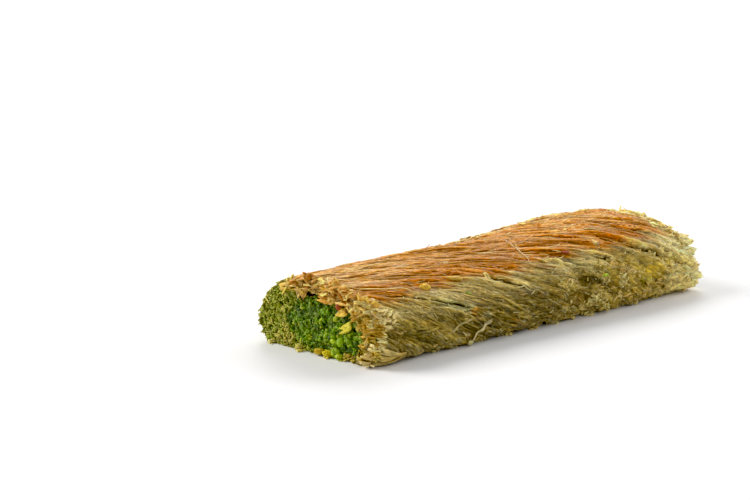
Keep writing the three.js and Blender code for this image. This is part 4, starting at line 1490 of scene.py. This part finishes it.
def add_fringe(heap, rng, count, xs, turns, lengths, widths):
    """A fringe past an end. The far ones are paler and smoother."""
    far = xs[0] > 0
    x, turn = scattered(rng, count, xs, turns)
    along, normal = surface_frame(x, turn, strand_angle(x, turn) * 0.4 + rng.normal(0, 14, count))
    outs = (-0.8, 0.25) if far else (-0.5, 0.1)
    centres, _ = roll_point(x, turn, rng.uniform(*outs, count))
    facing = unit(normal + 0.25 * rng.normal(size=normal.shape) + [0, 0, 0.5])
    inside = smoothstep(FAR + 1.5, FAR - 4, x) * far
    tints = blend(PALE_STRAW, YELLOW, 0.15 * rng.random(count) + 0.25 * inside)
    golden = smoothstep(0.7, 0.6, turn) * (not far)
    tints = blend(tints, PALE_GOLD, golden) * rng.uniform(0.9, 1.08, (count, 1))
    if far:
        tints = tints * FAR_FRINGE_TINT
    heap.flakes(rng, centres, along, facing, rng.uniform(*lengths, count), rng.uniform(*widths, count),
                rng.uniform(-0.3, 0.1, count), tints, ribs=2 if far else 3, thickness=0.34,
                furrow=0.08 if far else 0.2)


def make_fray(material):
    """What sticks out past both ends: fans at the near foot and brow, a ragged fringe at the far end."""
    heap = Heap()
    rng = np.random.default_rng(401)
    for fringe in FRINGES:
        add_fringe(heap, rng, **fringe)
    add_fan(heap)
    add_brow_flakes(heap)
    heap.piece("frayed_ends", material, "dough")


# Single things that the eye falls on. Lumps: place, half sizes and colour.
NUBS = table(
    "x turn out size tint",
    (-32.4, 0.645, 0.5, (1.3, 0.95, 0.8), linear(226, 184, 76)),
    (-22.6, 0.641, 0.35, (1.9, 0.6, 0.5), linear(216, 176, 84)),
    (13.4, 0.647, 0.2, (1.1, 0.4, 0.35), linear(170, 90, 60)),
    (21.8, 0.727, 0.5, (0.9, 0.4, 0.35), linear(176, 196, 40)),
    (-21.5, 0.686, 0.1, (0.9, 0.28, 0.3), linear(168, 184, 60)),
    (-22.8, 0.808, 0.75, (0.85, 0.6, 0.5), linear(214, 202, 136)),
    (48, 0.46, 0.2, (1.2, 0.7, 0.3), linear(220, 196, 96)),
    (-52.8, 0.963, -0.9, (0.9, 1.2, 0.8), linear(204, 186, 46)),
    (-52.7, 0.928, -0.8, (0.8, 0.7, 0.7), linear(176, 192, 48)),
    (-52.8, 0.992, -0.8, (0.8, 1.2, 0.7), linear(196, 168, 56)),
    (-52.6, 0.06, -0.7, (0.8, 1.1, 0.7), linear(186, 176, 84)),
)
# Strands that lie across the others: points as (x, turn, out), a radius and a colour.
STRAYS = table(
    "path radius tint",
    ([(6.4, 0.512, 0.1), (4.9, 0.55, 0.35), (3.3, 0.60, 0.35), (1.6, 0.65, 0.2)], 0.15,
         linear(238, 206, 150)),
    ([(7.6, 0.515, 0.1), (6, 0.552, 0.3), (4.7, 0.585, 0.1)], 0.13, linear(236, 196, 130)),
    ([(49, 0.40, 0.2), (45.5, 0.47, 0.5), (42.3, 0.525, 0.4), (41.4, 0.585, 0.2)], 0.2,
         linear(214, 140, 90)),
    ([(-14.5, 0.764, -0.3), (-18.2, 0.772, 0.3), (-20.6, 0.787, 0.6), (-22.6, 0.806, 0.7)], 0.42,
         linear(204, 186, 134)),
    ([(-22.8, 0.752, 0.2), (-25.5, 0.757, 0.4), (-28.2, 0.768, 0.3), (-31, 0.782, -0.2)], 0.34,
         linear(190, 172, 112)),
    ([(-52.2, 0.575, 0.3), (-47.5, 0.605, 0.45), (-43, 0.622, 0.3), (-39.5, 0.632, 0.1)], 0.22,
         linear(240, 196, 116)),
)


# The bit of brown nut skin on the near face, and its half sizes.
SKIN_BIT = (NEAR - 2.0, -8.3, 12.8)
SKIN_BIT_SIZE = (0.6, 1.0, 0.8)


def add_nub(heap, rng, nub):
    """A ragged lump that lies along the strands."""
    x, turn = np.array([nub["x"]], float), np.array([nub["turn"]])
    along, normal = surface_frame(x, turn, strand_angle(x, turn))
    centre = on_locks(x, turn, nub["out"])
    base, faces = ico_sphere(3)
    ragged = base * varied(rng, 0.22, len(base), 1)
    axes = np.stack([along[0], np.cross(normal[0], along[0]), normal[0]])
    points = centre + ragged * nub["size"] @ axes
    keep_above(points, FLAKE_GAP)
    heap.add(points, [faces], nub["tint"] * varied(rng, 0.12, len(base), 1), points / STREAK_WIDTH)


def add_stray(heap, rng, stray, steps=14):
    """A strand that lies across the others."""
    marks = np.array(stray["path"])
    share = np.linspace(0, 1, steps)
    x, turn, out = (np.interp(share, np.linspace(0, 1, len(marks)), column) for column in marks.T)
    out = out + locks_relief(x, turn) + 0.12 * noise(6 * share, 3 * x[:1], 44)
    path, facing = roll_point(x, turn, out)
    radii = stray["radius"] * (1 - 0.3 * np.abs(2 * share - 1) ** 3) * rng.uniform(0.75, 1.1, steps)
    tints = stray["tint"] * rng.uniform(0.85, 1.1, (1, steps, 1))
    heap.tubes(path[None], radii[None], tints, 8, facing[None], 0.5)


def make_bits(dough, nut):
    """The nubs, green bits and stray strands that catch the eye, and the bit of brown nut skin."""
    loose, green = Heap(), Heap()
    rng = np.random.default_rng(501)
    for nub in NUBS:
        leafy = nub["tint"][1] > nub["tint"][0]
        add_nub(green if leafy else loose, rng, nub)
    for stray in STRAYS:
        add_stray(loose, rng, stray)
    green.lumps(rng, np.array([SKIN_BIT]), np.array([SKIN_BIT_SIZE]), NUT_SKIN[None], 3, 0.14)
    loose.piece("stray_strands_and_nubs", dough, "dough")
    green.piece("nut_bits", nut, "pistachio")


# --- The pistachio core ---
def vividness(y, z):
    """How vivid the nut is at a place of a face: most low on the front side."""
    return smoothstep(9, -9, y) * smoothstep(13, 3, z)


def nut_clumps(y, z):
    """Where the nut clumps together, from -1 to 1."""
    return noise(y / 1.3, z / 1.3, 83)


def nut_tint(rng, y, z):
    """Greens of ground pistachio."""
    count = len(y)
    vivid = vividness(y, z)
    clump = nut_clumps(y, z)
    tone = np.clip(rng.random(count) + 0.25 * noise(y / 1.4, z / 1.4, 84), 0, 1)
    colour = layered(
        LEAF_DARK,
        (LEAF, smoothstep(0.05, 0.7, tone)),
        (LEAF_BRIGHT, smoothstep(0.4, 0.95, tone) * (0.3 + 0.7 * vivid)),
        (PALE_LEAF, (rng.random(count) < 0.35 * (1 - vivid)) * 0.7),
        (LIME, (rng.random(count) < 0.04 + 0.1 * vivid) * 0.85),
        (LEAF_PALE, 0.55 * vivid * smoothstep(0.15, 0.6, clump)),
    )
    return colour * (1.04 - 0.18 * vivid + 0.27 * clump)[:, None]


def make_core(material):
    """The rod of ground pistachio, with crumbly faces."""
    around, along, across = 120, 40, 16
    angle = np.arange(around) * 2 * math.pi / around
    rim = core_outline(angle, -GAP)
    xs = np.linspace(NEAR + 0.35, FAR - 0.35, along)[:, None]
    rings = np.stack(np.broadcast_arrays(xs, rim[:, 0], rim[:, 1]), -1)
    middle = np.array([0.0, *CORE_MIDDLE])
    share = (np.arange(1, across + 1) / (across + 1))[:, None, None]

    def face(ring, end):
        inward = lerp(ring, middle + np.array([ring[0, 0], 0, 0]), share)
        inward[..., 0] += end * 0.45 * noise(inward[..., 1] / 0.7, inward[..., 2] / 0.7, 71 + end)
        return inward

    block = np.concatenate([face(rings[0], -1)[::-1], rings, face(rings[-1], 1)])
    ends = [[block[ring, :, 0].mean(), *CORE_MIDDLE] for ring in (0, -1)]
    points = stacked(block, ends)
    tip, last = len(block) * around, (len(block) - 1) * around
    j = np.arange(around)
    beside = (j + 1) % around
    caps = [np.stack([0 * j + tip, beside, j], -1), np.stack([0 * j + tip + 1, last + j, last + beside], -1)]
    # The rod shows only between the grains, so its darker green is painted shade.
    tint = np.broadcast_to(NUT_SHADE, points.shape)
    core = make_piece("nut_core", points, [grid_quads(len(block), around, False), *caps], tint,
                      points / STREAK_WIDTH, material)
    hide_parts("pistachio_core")


def make_grains(material):
    """Ground nut that stands out of both sawn faces of the core: large grains, and small ones between."""
    heap = Heap()
    for end, seed in ((-1, 81), (1, 82)):
        rng = np.random.default_rng(seed)

        def within(share, turn):
            return share + rng.uniform(-0.1, 0.1, share.shape) < 1.04

        near = end < 0
        for count, mean, detail, ragged in ((300 if near else 200, -0.7, 2, 0.16),
                                            (2300 if near else 1500, -1.4, 1, 0.3)):
            y, z, _, _ = face_places(rng, count, within)
            vivid = vividness(y, z)
            size = rng.lognormal(mean, 0.28, count).clip(0.12, 0.8) * (1 + 0.3 * vivid)
            out = rng.uniform(-0.45, 0.2, count) - 0.5 * size + (0.4 + 0.6 * vivid) * nut_clumps(y, z)
            sizes = size[:, None] * rng.uniform(0.6, 1.25, (count, 3))
            centres = end_places(end, out, y, np.maximum(z, size))
            heap.lumps(rng, centres, sizes, nut_tint(rng, y, z), detail, ragged)
    heap.piece("nut_grains", material, "pistachio")


# --- Materials ---
def new_material(name):
    """A new material, its node tree and its shader."""
    material = bpy.data.materials.new(name)
    material.use_nodes = True
    tree = material.node_tree
    return material, tree, tree.nodes["Principled BSDF"]


def set_inputs(node, values):
    """Sets a node's inputs by name."""
    for name, value in values.items():
        node.inputs[name].default_value = value


def noise_map(tree, coordinates, scale, detail, low, high):
    """Noise over the piece, and the same stretched between two values."""
    grain = tree.nodes.new("ShaderNodeTexNoise")
    set_inputs(grain, {"Scale": scale, "Detail": detail})
    tree.links.new(coordinates, grain.inputs["Vector"])
    span = tree.nodes.new("ShaderNodeMapRange")
    set_inputs(span, {"From Min": 0.3, "From Max": 0.7, "To Min": low, "To Max": high})
    tree.links.new(grain.outputs["Fac"], span.inputs["Value"])
    return grain.outputs["Fac"], span.outputs["Result"]


def attribute(tree, name, output):
    """A value that each point of a piece carries."""
    node = tree.nodes.new("ShaderNodeAttribute")
    node.attribute_name = name
    return node.outputs[output]


def object_place(tree):
    """The place in an object's own coordinates, in metres."""
    return tree.nodes.new("ShaderNodeTexCoord").outputs["Object"]


def scaled(tree, colour, brightness):
    """A colour times a brightness."""
    node = tree.nodes.new("ShaderNodeVectorMath")
    node.operation = "SCALE"
    tree.links.new(colour, node.inputs[0])
    tree.links.new(brightness, node.inputs["Scale"])
    return node.outputs["Vector"]


def bump(tree, height, strength, distance, under=None):
    """A bump of a height in mm, laid over another bump where one is given."""
    node = tree.nodes.new("ShaderNodeBump")
    set_inputs(node, {"Strength": strength, "Distance": distance * MM})
    tree.links.new(height, node.inputs["Height"])
    if under is not None:
        tree.links.new(under, node.inputs["Normal"])
    return node.outputs["Normal"]


def dough_material():
    """Fine dough strands, soaked and glazed with syrup: streaked and translucent, with sharp small glints."""
    material, tree, shader = new_material("syruped_dough")
    place = object_place(tree)
    streak, streak_shade = noise_map(tree, attribute(tree, "flow", "Vector"), 1.0, 3, 0.6, 1.38)
    grain, grain_shade = noise_map(tree, place, 1300, 4, 0.8, 1.18)
    _, roughness = noise_map(tree, place, 700, 2, 0.16, 0.42)
    colour = scaled(tree, scaled(tree, attribute(tree, "tint", "Color"), streak_shade), grain_shade)
    tree.links.new(colour, shader.inputs["Base Color"])
    tree.links.new(roughness, shader.inputs["Roughness"])
    tree.links.new(bump(tree, grain, 0.9, 0.22, bump(tree, streak, 0.8, 0.16)), shader.inputs["Normal"])
    set_inputs(shader, {
        "Subsurface Weight": 0.6,
        "Subsurface Radius": (1.0, 0.85, 0.45),
        "Subsurface Scale": 0.8 * MM,
        "IOR": 1.45,
        "Specular IOR Level": 0.09,
        "Specular Tint": (1.0, 0.8, 0.5, 1.0),
        "Coat Weight": 0.1,
        "Coat Roughness": 0.1,
    })
    return material


def nut_material():
    """Moist ground pistachio."""
    material, tree, shader = new_material("ground_pistachio")
    grain, grain_shade = noise_map(tree, object_place(tree), 1500, 4, 0.7, 1.25)
    tree.links.new(scaled(tree, attribute(tree, "tint", "Color"), grain_shade), shader.inputs["Base Color"])
    tree.links.new(bump(tree, grain, 0.6, 0.15), shader.inputs["Normal"])
    set_inputs(shader, {
        "Subsurface Weight": 0.3,
        "Subsurface Radius": (0.7, 1.0, 0.25),
        "Subsurface Scale": 0.6 * MM,
        "Roughness": 0.42,
        "Specular IOR Level": 0.35,
    })
    return material


def floor_material():
    """A white table with a faint grain."""
    material, tree, shader = new_material("white_table")
    set_inputs(shader, {
        "Base Color": (0.85, 0.855, 0.868, 1),
        "Roughness": 0.55,
    })
    grain, _ = noise_map(tree, object_place(tree), 400, 2, 0, 1)
    tree.links.new(bump(tree, grain, 0.05, 0.1), shader.inputs["Normal"])
    return material


# --- Stage, light and camera ---
# What the camera looks at, from which side, and from how far in metres.
TARGET = Vector((4.46, 41.13, 8.0)) * MM
ELEVATION = math.radians(13.0)
AZIMUTH = math.radians(-44.2)
DISTANCE = 0.9
# The lens and the sensor's width in mm, and the nearest that the camera sees in metres.
LENS = 178.2
SENSOR_WIDTH = 36
NEAREST = 0.01


def make_stage():
    """The table, which is not part of the roll."""
    bpy.ops.mesh.primitive_plane_add(size=8, location=(0, 0, 0))
    floor = bpy.context.object
    floor.name = "table"
    floor.data.materials.append(floor_material())


# Soft boxes: where each stands in metres, its width, its power in watts and its colour.
SOFT_BOXES = table(
    "name place size power colour",
    ("behind_left", (-0.6, 0.8, 0.7), 0.8, 14, (1, 0.985, 0.96)),
    ("behind_right", (0.7, 0.7, 0.7), 0.8, 5.4, (1, 0.985, 0.96)),
    ("right", (1, -0.1, 0.6), 0.8, 6.4, (1, 1, 1)),
    ("front", (-0.2, -1, 0.8), 1, 4.5, (1, 1, 1)),
)
# How bright the room is, and the level that shows as black.
SURROUNDINGS = 0.22
BLACK_LEVEL = 0.012


def make_lights():
    """Soft boxes round the roll, in a pale room."""
    world = bpy.data.worlds.new("soft_studio")
    bpy.context.scene.world = world
    world.use_nodes = True
    sky = world.node_tree.nodes["Background"]
    sky.inputs["Color"].default_value = (1, 1, 1, 1)
    sky.inputs["Strength"].default_value = SURROUNDINGS
    for box in SOFT_BOXES:
        data = bpy.data.lights.new(box["name"], "AREA")
        data.shape = "DISK"
        data.size = box["size"]
        data.energy = box["power"]
        data.color = box["colour"]
        light = bpy.data.objects.new(box["name"], data)
        light.location = box["place"]
        light.rotation_euler = (-Vector(box["place"])).to_track_quat("-Z", "Y").to_euler()
        bpy.context.scene.collection.objects.link(light)


def make_camera():
    """The photo's camera, which looks at the target from a distance in metres."""
    back = Vector((math.sin(AZIMUTH) * math.cos(ELEVATION), -math.cos(AZIMUTH) * math.cos(ELEVATION),
                   math.sin(ELEVATION)))
    data = bpy.data.cameras.new("camera")
    data.lens = LENS
    data.sensor_width = SENSOR_WIDTH
    data.clip_start = NEAREST
    camera = bpy.data.objects.new("camera", data)
    camera.location = TARGET + back * DISTANCE
    camera.rotation_euler = (-back).to_track_quat("-Z", "Y").to_euler()
    bpy.context.scene.collection.objects.link(camera)
    bpy.context.scene.camera = camera


def make_view():
    """The plain view transform, with the photograph's deep blacks."""
    view = bpy.context.scene.view_settings
    view.view_transform = "Standard"
    view.use_curve_mapping = True
    view.curve_mapping.black_level = (BLACK_LEVEL, BLACK_LEVEL, BLACK_LEVEL)
    view.curve_mapping.update()


make_view()
make_camera()
make_stage()
make_lights()
dough = dough_material()
nut = nut_material()
make_bed(dough)
make_skins(dough)
make_strands(dough)
make_shreds(dough)
make_crumbs(dough)
make_torn_faces(dough)
make_fray(dough)
make_bits(dough, nut)
make_core(nut)
make_grains(nut)
